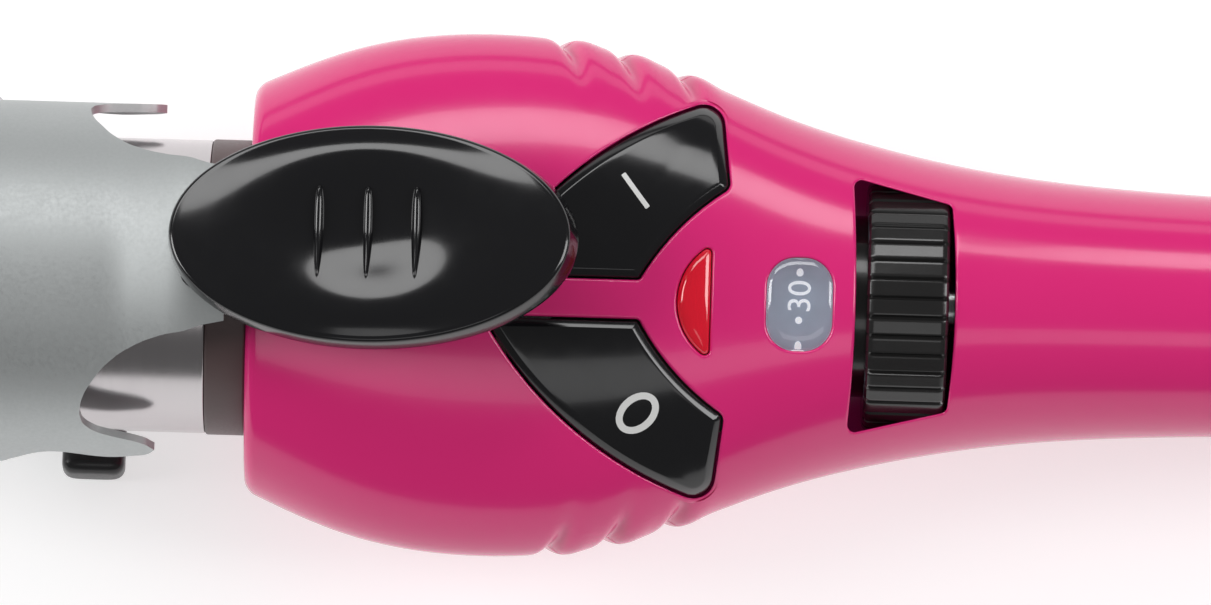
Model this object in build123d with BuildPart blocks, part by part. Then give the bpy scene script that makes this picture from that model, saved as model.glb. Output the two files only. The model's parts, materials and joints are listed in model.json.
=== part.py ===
from build123d import *

import os
from math import cos, pi, radians, sin, sqrt, tan

# Spring-clamp curling iron: heated barrel, clamp with a thumb lever, folding stand and a handle with a dial.
#
# Frame: +X runs along the tool from the barrel's cool tip to the cord inlet, +Z is up, and Z = 0 is the
# surface that the tool lies on with its stand folded. X = 0 is the middle of the overall length. The control
# panel is turned about the long axis from the barrel unit, so handle pieces are drawn on planes that carry
# this turn. Sizes are millimetres.

os.makedirs("parts", exist_ok=True)

# ---------------------------------------------------------------- driving dimensions

# Barrel
barrel_radius = 31.75 / 2
barrel_wall = 0.8
barrel_length = 165.0  # exposed length between the collar and the cool tip
tip_length = 16.0
tip_spigot_length = 9.0
tip_nose_radius = 6.0
slip = 0.1  # radial gap between pieces that slide together when the tool is built

# Collar between the barrel and the handle
collar_width = 4.4
collar_radius = 16.0
collar_spigot_length = 9.0
neck_radius = 12.6
flange_radius = 14.2
flange_width = 2.6
collar_bore_radius = 6.5

# Handle
handle_length = 160.0
handle_wall = 2.2
front_wall = 2.4
rear_wall = 3.0
front_edge_fillet = 1.2
rear_edge_fillet = 1.0
panel_turn = 14.0  # degrees between the panel's normal and the barrel unit's upright

# Heater, its fuse and its sensor
heater_length = 96.0
heater_width = 18.0
heater_thickness = 2.6
heater_corner = 0.5
heater_setback = 24.0  # of the heater's rear end in front of the collar
spreader_channel_share = 0.6  # height of each spreader's channel, as a share of its radius
spreader_channel_size = 0.2  # the channel's radius, as a share of the spreader's
lead_radius = 0.9
lead_side = 3.4
fuse_radius = 2.0
fuse_length = 11.0
fuse_side = 4.2
fuse_chamfer = 0.7
sensor_radius = 1.4
sensor_length = 6.0
sensor_side = -4.0
sensor_fillet = 0.5
heater_end_gap = 1.0  # between the heater and the parts behind it

# Clamp
sheet = 0.9
clamp_gap = 0.2  # between the closed clamp and the barrel
clamp_reach = 163.0  # from the handle's face to the clamp's front end
lip_length = 6.0
lip_rise = 2.4
spoon_half_angle = 52.0
spoon_round = 13.0  # length of the clamp's rounded front end
saddle_inner_radius = 18.7
saddle_start = 46.0  # distances in front of the handle's face
saddle_end = 14.0
cone_start = 58.0
tongue_start = 7.0
tongue_end = 1.5
tongue_rise = 1.5
prong_split = 10.0  # the cut-outs' deepest height above the axis, where the prongs part from the tongue
sheet_bend = 4.0  # radius of the sheet's bends along the clamp
hinge_from_face = 30.0
hinge_pin_radius = 1.5
hinge_head_radius = 2.4
hinge_head_height = 0.8
hinge_head_fillet = 0.35
ear_radius = 4.5
play = 0.05  # radial running clearance of the hinge pins

# Hinge band round the barrel
band_thickness = 1.0
band_width = 16.0
band_boss_radius = 3.2
band_boss_gap = 0.6  # between the boss and the saddle, along the pin

# Clamp spring
spring_width = 7.0
spring_thickness = 0.5
spring_fixed_length = 4.0
spring_reach = 16.0
spring_bend = 8.0

# Thumb lever
lever_length = 42.2
lever_width = 23.6
lever_flare = 0.5  # how much wider the underside is than the face, all round
lever_rear_flare = 1.2  # how much further the underside reaches at its rear end
lever_front = 8.2  # distance of the lever's front end in front of the handle's face
lever_height = 26.6  # of the middle of the lever's face above the barrel's axis
lever_thickness = 4.2
lever_slope = 3.3  # degrees
lever_edge_fillet = 1.2
dish_depth = 1.2
dish_border = 1.9
dish_run = 1.6  # how far the dish's wall slopes in
ridge_pitch = 4.9
ridge_width = 1.5
ridge_length = 9.6
ridge_height = 0.9
ridge_taper = 20.0  # degrees
lever_base_length = 9.0
lever_base_drop = 0.3  # of the base below the tongue's outer face
lever_base_width = 11.0
lever_base_corner = 2.0
lever_screw_radius = 1.0
lever_screw_head_radius = 1.9
lever_screw_head_height = 0.7
lever_screw_side = 3.0
lever_screw_grip = 2.0  # how far the screws reach into the lever

# Stand
stand_pivot_from_face = 34.0
stand_pivot_depth = 19.6  # below the barrel's axis
stand_reach = 17.0
stand_arm_side = 7.6  # inner face of each arm from the middle plane
stand_sheet = 1.2
stand_arm_height = 4.0
stand_pin_radius = 1.1
stand_lug_side = 4.6
stand_lug_thickness = 2.4
foot_length = 33.6
foot_width = 6.9
foot_height = 5.0
foot_corner = 1.5
foot_end_fillet = 1.0
foot_core_share = 0.5  # of the foot's section that its steel core fills
foot_core_corner = 0.6
stand_pin_proud = 0.4
foot_depth = 22.6  # of the foot's flat below the barrel's axis; the handle's belly reaches the same depth
belly_lift = 0.05  # the belly's lowest line above the foot's flat

# Dial
dial_axis_height = 2.6  # above the handle's axis, along the panel's normal
dial_radius = 13.5
dial_start = 66.6
dial_width = 8.9
dial_ribs = 40
rib_depth = 0.45
rib_share = 0.5
dial_pocket_gap = 0.5
dial_web = 2.0
drum_radius = 10.0
drum_start = 54.4
drum_wall = 1.6
hub_radius = 5.0
shaft_radius = 3.0
slot_front = 65.0
slot_rear = 75.8
slot_bulge = 0.7
slot_front_half = 13.8
slot_rear_half = 11.1
slot_corner = 0.8
potentiometer_radius = 8.0
potentiometer_length = 7.5
potentiometer_gap = 0.6
potentiometer_foot = (9.0, 6.0)  # width and height of its terminals' block

# Buttons, lamp and window
panel_strip_half = 2.1  # half the width of the strip between the two button openings
button_gap = 0.25
button_proud = 0.3
button_shell = 1.9
button_travel = 1.0
button_post_radius = 2.4
button_post_x = 41.5
button_post_side = 11.0
lamp_chord_x = 49.8
lamp_sagitta = 3.7
lamp_half_length = 6.2
lamp_corner = 0.6
window_x = 59.3
window_width = 7.1
window_length = 10.0
window_corner = 3.1
lens_sunk = 0.15
lens_depth = 1.3

# Electronics
board_front = 11.5
board_length = 40.5
board_width = 29.0
board_top = 3.6
board_thickness = 1.6
board_hole_radius = 1.6
board_post_radius = 2.8
board_screws = [15.5, 31.0]
switch_side = 6.4
switch_height = 3.4
plunger_radius = 1.7
plunger_reach = 1.2
plunger_depth = 1.8
lamp_led_radius = 1.5
lamp_led_gap = 0.6
lamp_led_round = 0.9  # the lamp's rounded top, as a share of its radius
board_corner = 2.0
board_screw_head = 1.4
switch_corner = 0.6
capacitor_place = (22.5, -7.5)
capacitor_size = (11.0, 6.0)
capacitor_corner = 1.0
capacitor_height = 8.0
triac_place = (22.0, 8.0)
triac_size = (4.6, 10.0)
triac_height = 7.0
terminal_front = 108.0
terminal_width = 14.0
terminal_height = 9.0
terminal_length = 13.0
terminal_corner = 1.0
terminal_pitch = 7.0
terminal_bore_radius = 1.2

# Shell screws, seen from below: distance behind the face and side
shell_screws = [(14.0, 19.0), (14.0, -19.0), (94.0, 0.0), (134.0, 0.0)]
screw_shank_radius = 1.3
screw_head_radius = 2.5
screw_head_height = 1.8
screw_hole_gap = 0.15
screw_seat = 8.0  # below the seam
screw_reach = 6.0  # above the seam
boss_radius = 3.9
screw_slot_length = 2.0
screw_slot_width = 0.8
screw_slot_depth = 0.9

# Side grooves
groove_stations = [33.4, 39.6, 46.0]
groove_radius = 1.5
groove_bite = 0.8
groove_bend = 13.0
groove_lean = 17.0

# Cord swivel
socket_flange_radius = 10.0
socket_flange_width = 4.0
socket_body_radius = 9.0
socket_collar_radius = 10.8
socket_collar_width = 3.5
swivel_radius = 6.1
swivel_play = 0.06
swivel_flange_radius = 8.0
swivel_flange_width = 2.5
swivel_gap = 0.3
swivel_nose_radius = 8.6
swivel_tip_radius = 6.0
swivel_nose_length = 10.0
cord_bore_radius = 3.3
socket_fillet = 0.8
swivel_tip_fillet = 1.0
ring_width = 3.0
ring_gap = 2.0
ring_thickness = 0.8
brush_thickness = 1.6
brush_height = 5.0

# ---------------------------------------------------------------- worked-out values

axis_height = foot_depth
front_length = tip_length + barrel_length + collar_width
rear_extra = socket_collar_width + swivel_gap + swivel_nose_length
overall_length = front_length + handle_length + rear_extra
face_x = front_length - overall_length / 2  # the handle's front face

turn = radians(panel_turn)
panel_side = Vector(0, cos(turn), sin(turn))
panel_normal = Vector(0, -sin(turn), cos(turn))
barrel_axis = Axis((0, 0, axis_height), (1, 0, 0))

barrel_rear = face_x - collar_width
barrel_front = barrel_rear - barrel_length
barrel_inner = barrel_radius - barrel_wall
heater_rear = barrel_rear - heater_setback
heater_front = heater_rear - heater_length
spreader_radius = barrel_inner - slip
hinge_x = face_x - hinge_from_face
stand_x = face_x - stand_pivot_from_face
spoon_inner_radius = barrel_radius + clamp_gap
tongue_inner_radius = saddle_inner_radius + tongue_rise
tongue_outer_radius = tongue_inner_radius + sheet
reach = 2 * overall_length  # longer than any piece, for cutting tools
belly_half_width = 28.3
belly_depth = sqrt((foot_depth - belly_lift) ** 2 - (belly_half_width * sin(turn)) ** 2) / cos(turn)

# The handle's stations: distance behind the face, half width, height of the panel and depth of the belly
head_stations = [
    (0.0, 21.9, 16.6, 17.6),
    (10.0, 26.0, 16.5, 20.2),
    (24.0, belly_half_width, 16.0, belly_depth),
    (36.0, 27.4, 15.3, 21.3),
    (46.0, 24.7, 15.0, 19.4),
    (57.0, 20.4, 15.3, 17.0),
    (68.0, 17.2, 15.7, 15.6),
    (80.0, 14.9, 14.8, 14.4),
    (96.0, 13.4, 13.4, 13.4),
]
grip_stations = [
    (handle_length - 35.0, 12.9, 12.9, 12.9),
    (handle_length - 12.0, 13.2, 13.2, 13.2),
    (handle_length, 12.7, 12.7, 12.7),
]
stations = head_stations + grip_stations

# A button opening's outline on the panel: corners and arc points, by distance behind the face and side
button_inner_rear = (42.1, panel_strip_half)
button_concave_middle = (46.0, 7.5)
button_rear_inner = (51.6, 12.2)
button_rear_outer = (50.5, 22.0)
button_outer_middle = (36.0, 14.6)
button_front = (25.2, panel_strip_half)
button_corner_radii = {"rear_outer": 2.4, "rear_inner": 1.2, "inner_rear": 0.6}


def keep(name, shape):
    """Labels a finished piece and writes it to its own STEP file."""
    shape.label = name
    export_step(shape, f"parts/{name}.step")


def across_handle(x, height=0.0):
    """Plane across the handle, x behind its face: local x is the panel's width, local y its normal."""
    centre = Vector(face_x + x, 0, axis_height) + panel_normal * height
    return Plane(origin=centre, x_dir=panel_side, z_dir=(1, 0, 0))


def panel_plane(height):
    """Plane parallel to the panel, above the axis: local x is the distance behind the handle's face."""
    centre = Vector(face_x, 0, axis_height) + panel_normal * height
    return Plane(origin=centre, x_dir=(1, 0, 0), z_dir=panel_normal)


def across_barrel(x):
    """Plane across the barrel unit at X = x: local x is +Y, local y is up from the barrel's axis."""
    return Plane(origin=(x, 0, axis_height), x_dir=(0, 1, 0), z_dir=(1, 0, 0))


def barrel_side(y=0.0):
    """Upright plane along the barrel: local x is the distance behind the handle's face, local y is up."""
    return Plane(origin=(face_x, y, axis_height), x_dir=(1, 0, 0), z_dir=(0, -1, 0))


def barrel_level(height):
    """Level plane above the barrel's axis: local x is the distance behind the handle's face."""
    return Plane(origin=(face_x, 0, axis_height + height), x_dir=(1, 0, 0), z_dir=(0, 0, 1))


def half_width_at(x):
    """The handle's half width at distance x behind its face, between the stations by straight lines."""
    for (x_0, width_0, *_), (x_1, width_1, *_) in zip(stations, stations[1:]):
        if x_0 <= x <= x_1:
            return width_0 + (width_1 - width_0) * (x - x_0) / (x_1 - x_0)
    return stations[-1][1]


def half_body(inset, upper, first=0.0, last=handle_length):
    """One half of the handle's outer form drawn in by an inset, cut to the stretch from first to last."""
    with BuildPart() as made:
        for x, half_width, top, bottom in stations:
            height = (top if upper else bottom) - inset
            with BuildSketch(across_handle(x)):
                with BuildLine():
                    arc = EllipticalCenterArc(
                        (0, 0), half_width - inset, height, start_angle=0 if upper else 180, arc_size=180
                    )
                    Line(arc @ 1, arc @ 0)
                make_face()
        loft()
        if first > 0 or last < handle_length:
            with BuildSketch(across_handle(first)):
                Rectangle(reach, reach)
            extrude(amount=last - first, mode=Mode.INTERSECT)
    return made.part


def panel_column(outline, low=0.0, high=30.0):
    """A column that stands on the panel's outline sketch, along the panel's normal."""
    with BuildPart() as made:
        with BuildSketch(panel_plane(low)):
            add(outline)
        extrude(amount=high - low)
    return made.part


def button_outline(side, grow=0.0):
    """Flat sketch of one button opening, grown by an amount; side is +1 for the far one, -1 for the near."""
    with BuildSketch() as outline:
        with BuildLine():
            ThreePointArc(button_inner_rear, button_concave_middle, button_rear_inner)
            Line(button_rear_inner, button_rear_outer)
            ThreePointArc(button_rear_outer, button_outer_middle, button_front)
            Line(button_front, button_inner_rear)
        make_face()
        fillet(outline.vertices().sort_by(Axis.Y)[-1], button_corner_radii["rear_outer"])
        fillet(outline.vertices().sort_by(Axis.X)[-1], button_corner_radii["rear_inner"])
        fillet(outline.vertices().sort_by_distance(button_inner_rear)[0], button_corner_radii["inner_rear"])
        if grow:
            offset(amount=grow)
        if side < 0:
            mirror(about=Plane.XZ, mode=Mode.REPLACE)
    return outline.sketch


def lamp_outline(grow=0.0):
    """Flat sketch of the crescent lamp: an arc closed by a straight chord."""
    with BuildSketch() as outline:
        with BuildLine():
            ThreePointArc(
                (lamp_chord_x, -lamp_half_length),
                (lamp_chord_x - lamp_sagitta, 0),
                (lamp_chord_x, lamp_half_length),
            )
            Line((lamp_chord_x, lamp_half_length), (lamp_chord_x, -lamp_half_length))
        make_face()
        fillet(outline.vertices(), lamp_corner)
        if grow:
            offset(amount=grow)
    return outline.sketch


def window_outline(grow=0.0):
    """Flat sketch of the display window."""
    with BuildSketch() as outline:
        with Locations((window_x, 0)):
            RectangleRounded(window_width + 2 * grow, window_length + 2 * grow, window_corner + grow)
    return outline.sketch


def slot_outline():
    """Flat sketch of the dial's opening: slanted ends and two slightly bowed edges."""
    with BuildSketch() as outline:
        with BuildLine():
            ThreePointArc(
                (slot_front, -slot_front_half), (slot_front + slot_bulge, 0), (slot_front, slot_front_half)
            )
            Line((slot_front, slot_front_half), (slot_rear, slot_rear_half))
            ThreePointArc(
                (slot_rear, slot_rear_half), (slot_rear + slot_bulge, 0), (slot_rear, -slot_rear_half)
            )
            Line((slot_rear, -slot_rear_half), (slot_front, -slot_front_half))
        make_face()
        fillet(outline.vertices(), slot_corner)
    return outline.sketch


def groove_cutters():
    """Six ring segments that press the leaning grooves into the handle's sides."""
    lean = radians(groove_lean)
    along = Vector(1, 0, 0)
    up = panel_normal * cos(lean) + along * sin(lean)
    with BuildPart() as made:
        for station in groove_stations:
            for side in (1, -1):
                outward = panel_side * side
                centre_side = half_width_at(station) - groove_bite - groove_bend
                centre = Vector(face_x + station, 0, axis_height) + outward * centre_side
                with BuildSketch(Plane(origin=centre, x_dir=outward, z_dir=up)):
                    with Locations((groove_bend + groove_radius, 0)):
                        Circle(groove_radius)
                revolve(axis=Axis(centre, up.cross(outward)))
    return made.part


# ---------------------------------------------------------------- barrel unit

with BuildPart() as barrel_tube:
    with BuildSketch(across_barrel(barrel_front)):
        Circle(barrel_radius)
        Circle(barrel_inner, mode=Mode.SUBTRACT)
    extrude(amount=barrel_length)
keep("barrel_tube", barrel_tube.part)

with BuildPart() as barrel_tip:
    with BuildSketch(across_barrel(barrel_front - tip_length)):
        Circle(barrel_radius)
    extrude(amount=tip_length)
    fillet(barrel_tip.edges().group_by(Axis.X)[0], tip_nose_radius)
    with BuildSketch(across_barrel(barrel_front)):
        Circle(barrel_inner - slip)
    extrude(amount=tip_spigot_length)
    with BuildSketch(across_barrel(barrel_front - tip_length / 2)):
        Circle(barrel_inner - 2 * barrel_wall)
    extrude(amount=reach, mode=Mode.SUBTRACT)
keep("barrel_tip", barrel_tip.part)

with BuildPart() as collar:
    with BuildSketch(across_barrel(barrel_rear - collar_spigot_length)):
        Circle(barrel_inner - slip)
    extrude(amount=collar_spigot_length)
    with BuildSketch(across_barrel(barrel_rear)):
        Circle(collar_radius)
    extrude(amount=collar_width)
    with BuildSketch(across_barrel(face_x)):
        Circle(neck_radius)
    extrude(amount=front_wall)
    with BuildSketch(across_barrel(face_x + front_wall)):
        Circle(flange_radius)
    extrude(amount=flange_width)
    with BuildSketch(across_barrel(barrel_rear - collar_spigot_length)):
        Circle(collar_bore_radius)
    extrude(amount=reach, mode=Mode.SUBTRACT)
keep("barrel_collar", collar.part)

with BuildPart() as heater_element:
    with BuildSketch(across_barrel(heater_front)):
        RectangleRounded(heater_width, heater_thickness, heater_corner)
    extrude(amount=heater_length)
keep("heater_element", heater_element.part)

for name, sign in (("heat_spreader_upper", 1), ("heat_spreader_lower", -1)):
    with BuildPart() as spreader:
        with BuildSketch(across_barrel(heater_front)):
            Circle(spreader_radius)
            with Locations((0, -sign * (spreader_radius - heater_thickness / 2))):
                Rectangle(2 * spreader_radius, 2 * spreader_radius, mode=Mode.SUBTRACT)
        extrude(amount=heater_length)
        with BuildSketch(across_barrel(heater_front)):
            with Locations((0, sign * spreader_radius * spreader_channel_share)):
                Circle(spreader_radius * spreader_channel_size)
        extrude(amount=heater_length, mode=Mode.SUBTRACT)
    keep(name, spreader.part)

for name, side in (("heater_lead_live", 1), ("heater_lead_neutral", -1)):
    with BuildPart() as lead:
        with BuildSketch(across_barrel(heater_rear)):
            with Locations((side * lead_side, 0)):
                Circle(lead_radius)
        extrude(amount=face_x + board_front - heater_end_gap - heater_rear)
    keep(name, lead.part)

with BuildPart() as thermal_fuse:
    with BuildSketch(across_barrel(heater_rear + heater_end_gap)):
        with Locations((0, fuse_side)):
            Circle(fuse_radius)
    extrude(amount=fuse_length)
    chamfer(thermal_fuse.edges().group_by(Axis.X)[-1], fuse_chamfer)
keep("thermal_fuse", thermal_fuse.part)

with BuildPart() as sensor:
    with BuildSketch(across_barrel(heater_rear + heater_end_gap)):
        with Locations((0, sensor_side)):
            Circle(sensor_radius)
    extrude(amount=sensor_length)
    fillet(sensor.edges(), sensor_fillet)
keep("temperature_sensor", sensor.part)

# ---------------------------------------------------------------- hinge band, clamp and lever

band_radius = barrel_radius + band_thickness
band_boss_reach = saddle_inner_radius - band_boss_gap

with BuildPart() as band:
    with BuildSketch(across_barrel(hinge_x - band_width / 2)):
        Circle(band_radius)
    extrude(amount=band_width)
    with BuildSketch(barrel_side()):
        with Locations((-hinge_from_face, 0)):
            Circle(band_boss_radius)
    extrude(amount=band_boss_reach, both=True)
    for side in (1, -1):
        with BuildSketch(barrel_side(side * (stand_lug_side + stand_lug_thickness / 2))):
            with Locations((-stand_pivot_from_face, -stand_pivot_depth)):
                Circle(2 * stand_pin_radius)
            with Locations((-stand_pivot_from_face, -stand_pivot_depth / 2)):
                Rectangle(4 * stand_pin_radius, stand_pivot_depth)
        extrude(amount=stand_lug_thickness / 2, both=True)
    with BuildSketch(across_barrel(hinge_x - reach / 2)):
        Circle(barrel_radius)
    extrude(amount=reach, mode=Mode.SUBTRACT)
    with BuildSketch(barrel_side()):
        with Locations((-hinge_from_face, 0)):
            Circle(hinge_pin_radius)
        with Locations((-stand_pivot_from_face, -stand_pivot_depth)):
            Circle(stand_pin_radius + play)
    extrude(amount=reach, both=True, mode=Mode.SUBTRACT)
keep("hinge_band", band.part)

for name, side in (("clamp_pin_left", 1), ("clamp_pin_right", -1)):
    outer_face = saddle_inner_radius + sheet + play
    with BuildPart() as pin:
        with BuildSketch(barrel_side(side * barrel_radius)):
            with Locations((-hinge_from_face, 0)):
                Circle(hinge_pin_radius)
        extrude(amount=-side * (outer_face - barrel_radius))
        with BuildSketch(barrel_side(side * outer_face)):
            with Locations((-hinge_from_face, 0)):
                Circle(hinge_head_radius)
        extrude(amount=-side * hinge_head_height)
        fillet(pin.edges().group_by(Axis.Y)[-1 if side > 0 else 0], hinge_head_fillet)
    keep(name, pin.part)

# Side view of the clamp's edge, by distance behind the face and height above the axis
spoon_edge = (spoon_inner_radius + sheet / 2) * cos(radians(spoon_half_angle))
lip_edge = spoon_inner_radius + lip_rise + sheet
prong_points = [
    (-hinge_from_face + ear_radius, -1.0),
    (-20.6, 2.5),
    (-14.0, 1.3),
    (-9.6, 3.7),
    (-12.0, 5.6),
    (-15.6, 6.9),
    (-17.6, 9.6),
    (-16.9, 12.4),
    (-13.4, 15.6),
    (-8.2, 18.0),
    (-tongue_end, 18.9),
]

blade_points = [
    (-clamp_reach, spoon_inner_radius + lip_rise),
    (-clamp_reach + lip_length, spoon_inner_radius),
    (-cone_start, spoon_inner_radius),
    (-saddle_start, saddle_inner_radius),
]
tongue_points = [
    (-saddle_end, saddle_inner_radius),
    (-tongue_start, tongue_inner_radius),
    (-tongue_end, tongue_inner_radius),
]


def clamp_sheet(points, above):
    """The bent sheet round the axis, trimmed to the clamp's edge and to one side of the prong split."""
    with BuildPart() as made:
        with BuildSketch(barrel_side()):
            with BuildLine():
                FilletPolyline(*points, radius=sheet_bend)
                offset(amount=sheet, side=Side.LEFT)
            make_face()
        revolve(axis=barrel_axis)
        with BuildSketch(barrel_side()):
            with BuildLine():
                EllipticalCenterArc(
                    (-clamp_reach + spoon_round, lip_edge),
                    spoon_round,
                    lip_edge - spoon_edge,
                    start_angle=180,
                    arc_size=90,
                )
                Line((-clamp_reach + spoon_round, spoon_edge), (-cone_start, spoon_edge))
                ThreePointArc(
                    (-cone_start, spoon_edge),
                    (-saddle_start - 1.5, 6.6),
                    (-hinge_from_face - ear_radius, -1.0),
                )
                ThreePointArc(
                    (-hinge_from_face - ear_radius, -1.0),
                    (-hinge_from_face, -ear_radius),
                    (-hinge_from_face + ear_radius, -1.0),
                )
                Spline(*prong_points)
                Polyline(
                    prong_points[-1],
                    (-tongue_end, reach),
                    (-clamp_reach, reach),
                    (-clamp_reach, lip_edge),
                )
            make_face()
        extrude(amount=reach, both=True, mode=Mode.INTERSECT)
        split(
            bisect_by=Plane(origin=(0, 0, axis_height + prong_split), z_dir=(0, 0, 1)),
            keep=Keep.TOP if above else Keep.BOTTOM,
        )
    return made.part


with BuildPart() as clamp:
    add(clamp_sheet(blade_points + tongue_points, True))
    add(clamp_sheet(blade_points + [(-tongue_end, saddle_inner_radius)], False))
    with BuildSketch(barrel_side()):
        with Locations((-hinge_from_face, 0)):
            Circle(hinge_pin_radius + play)
    extrude(amount=reach, both=True, mode=Mode.SUBTRACT)
    with BuildSketch(barrel_level(0)):
        for side in (1, -1):
            with Locations((-(tongue_start + tongue_end) / 2, side * lever_screw_side)):
                Circle(lever_screw_radius + play)
    extrude(amount=reach, mode=Mode.SUBTRACT)
keep("clamp_blade", clamp.part)

spring_fixed_end = -hinge_from_face + band_width / 2
spring_top = sqrt(saddle_inner_radius**2 - (spring_width / 2) ** 2) - slip
with BuildPart() as spring:
    with BuildSketch(barrel_side()):
        with BuildLine():
            FilletPolyline(
                (spring_fixed_end - spring_fixed_length, band_radius),
                (spring_fixed_end, band_radius),
                (spring_fixed_end + spring_reach / 2, spring_top - spring_thickness),
                radius=spring_bend,
            )
            offset(amount=spring_thickness, side=Side.LEFT)
        make_face()
    extrude(amount=spring_width / 2, both=True)
keep("clamp_spring", spring.part)

lever_middle = -lever_front + lever_length / 2
lever_plane = Plane(
    origin=(face_x + lever_middle, 0, axis_height + lever_height),
    x_dir=(cos(radians(lever_slope)), 0, sin(radians(lever_slope))),
    z_dir=(-sin(radians(lever_slope)), 0, cos(radians(lever_slope))),
)
lever_screw_x = -(tongue_start + tongue_end) / 2
lever_underside = lever_height - lever_thickness + (lever_screw_x - lever_middle) * tan(radians(lever_slope))

with BuildPart() as lever:
    with BuildSketch(lever_plane.offset(-lever_thickness)):
        with Locations((lever_rear_flare / 2, 0)):
            Ellipse((lever_length + lever_rear_flare) / 2 + lever_flare, lever_width / 2 + lever_flare)
    with BuildSketch(lever_plane):
        Ellipse(lever_length / 2, lever_width / 2)
    loft()
    fillet(lever.faces().group_by(Axis.Z)[0].edges(), lever_edge_fillet)
    fillet(lever.faces().group_by(Axis.Z)[-1].edges(), lever_edge_fillet)
    with BuildSketch(lever_plane):
        Ellipse(lever_length / 2 - dish_border, lever_width / 2 - dish_border)
    with BuildSketch(lever_plane.offset(-dish_depth)):
        Ellipse(lever_length / 2 - dish_border - dish_run, lever_width / 2 - dish_border - dish_run)
    loft(mode=Mode.SUBTRACT)
    with BuildSketch(lever_plane.offset(-dish_depth)):
        for step in (-1, 0, 1):
            with Locations((step * ridge_pitch, 0)):
                Rectangle(ridge_width, ridge_length)
    extrude(amount=ridge_height, taper=ridge_taper)
    with BuildSketch(barrel_level(0)):
        for side in (1, -1):
            with Locations((lever_screw_x, side * lever_screw_side)):
                Circle(lever_screw_radius)
    extrude(amount=lever_underside + lever_screw_grip, mode=Mode.SUBTRACT)
keep("thumb_lever", lever.part)

with BuildPart() as lever_base:
    with BuildSketch(barrel_side()):
        with BuildLine():
            Polyline(
                (-tongue_start, tongue_outer_radius - lever_base_drop),
                (lever_base_length - tongue_start, tongue_outer_radius - lever_base_drop),
                (lever_base_length - tongue_start, lever_height),
                (-tongue_start, lever_height),
                close=True,
            )
        make_face()
    extrude(amount=lever_base_width / 2, both=True)
    split(bisect_by=lever_plane.offset(-lever_thickness), keep=Keep.BOTTOM)
    with BuildSketch(barrel_level(0)):
        with Locations((lever_base_length / 2 - tongue_start, 0)):
            RectangleRounded(lever_base_length, lever_base_width, lever_base_corner)
    extrude(amount=reach, mode=Mode.INTERSECT)
    with BuildSketch(across_barrel(face_x - reach / 2)):
        Circle(tongue_outer_radius)
    extrude(amount=reach / 2 - tongue_end, mode=Mode.SUBTRACT)
    with BuildSketch(barrel_level(0)):
        for side in (1, -1):
            with Locations((lever_screw_x, side * lever_screw_side)):
                Circle(lever_screw_radius + play)
    extrude(amount=reach, mode=Mode.SUBTRACT)
keep("lever_base", lever_base.part)

for name, side in (("lever_screw_left", 1), ("lever_screw_right", -1)):
    head_top = sqrt(tongue_inner_radius**2 - (lever_screw_side + lever_screw_head_radius) ** 2)
    with BuildPart() as screw:
        with BuildSketch(barrel_level(head_top - lever_screw_head_height)):
            with Locations((lever_screw_x, side * lever_screw_side)):
                Circle(lever_screw_head_radius)
        extrude(amount=lever_screw_head_height)
        with BuildSketch(barrel_level(head_top)):
            with Locations((lever_screw_x, side * lever_screw_side)):
                Circle(lever_screw_radius)
        extrude(amount=lever_underside + lever_screw_grip - head_top)
    keep(name, screw.part)

# ---------------------------------------------------------------- stand

foot_x = -stand_pivot_from_face + stand_reach
arm_level = -(foot_depth - foot_height / 2)

with BuildPart() as stand:
    for side in (1, -1):
        with BuildSketch(barrel_side(side * (stand_arm_side + stand_sheet / 2))):
            with BuildLine():
                Polyline(
                    (-stand_pivot_from_face, -stand_pivot_depth - stand_arm_height / 2),
                    (foot_x, arm_level - foot_height / 4),
                    (foot_x, arm_level + foot_height / 4),
                    (-stand_pivot_from_face, -stand_pivot_depth + stand_arm_height / 2),
                    close=True,
                )
            make_face()
            with Locations((-stand_pivot_from_face, -stand_pivot_depth)):
                Circle(stand_arm_height / 2)
                Circle(stand_pin_radius, mode=Mode.SUBTRACT)
        extrude(amount=stand_sheet / 2, both=True)
    with BuildSketch(barrel_side()):
        with Locations((foot_x, arm_level)):
            RectangleRounded(foot_width * foot_core_share, foot_height * foot_core_share, foot_core_corner)
    extrude(amount=foot_length / 2 - 2 * stand_sheet, both=True)
keep("stand_frame", stand.part)

with BuildPart() as foot:
    with BuildSketch(barrel_side()):
        with Locations((foot_x, arm_level)):
            RectangleRounded(foot_width, foot_height, foot_corner)
    extrude(amount=foot_length / 2, both=True)
    ends = foot.faces().filter_by(Axis.Y)
    fillet(ends.edges(), foot_end_fillet)
    add(stand.part, mode=Mode.SUBTRACT)
keep("stand_foot", foot.part)

with BuildPart() as stand_pin:
    with BuildSketch(barrel_side()):
        with Locations((-stand_pivot_from_face, -stand_pivot_depth)):
            Circle(stand_pin_radius)
    extrude(amount=stand_arm_side + stand_sheet + stand_pin_proud, both=True)
keep("stand_pin", stand_pin.part)

# ---------------------------------------------------------------- handle shells

body_upper = half_body(0, True)
body_lower = half_body(0, False)
cavity_upper = half_body(handle_wall, True, front_wall, handle_length - rear_wall)
cavity_lower = half_body(handle_wall, False, front_wall, handle_length - rear_wall)
dial_pocket_front = slot_front - slot_bulge
dial_pocket_length = dial_start + dial_width + dial_pocket_gap - dial_pocket_front


def columns(positions, radius, low, high, body):
    """Round columns along the panel's normal at the positions, trimmed to the handle's outer form."""
    with BuildPart() as made:
        with BuildSketch(panel_plane(low)):
            with Locations(*positions):
                Circle(radius)
        extrude(amount=high - low)
        add(body, mode=Mode.INTERSECT)
    return made.part


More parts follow.
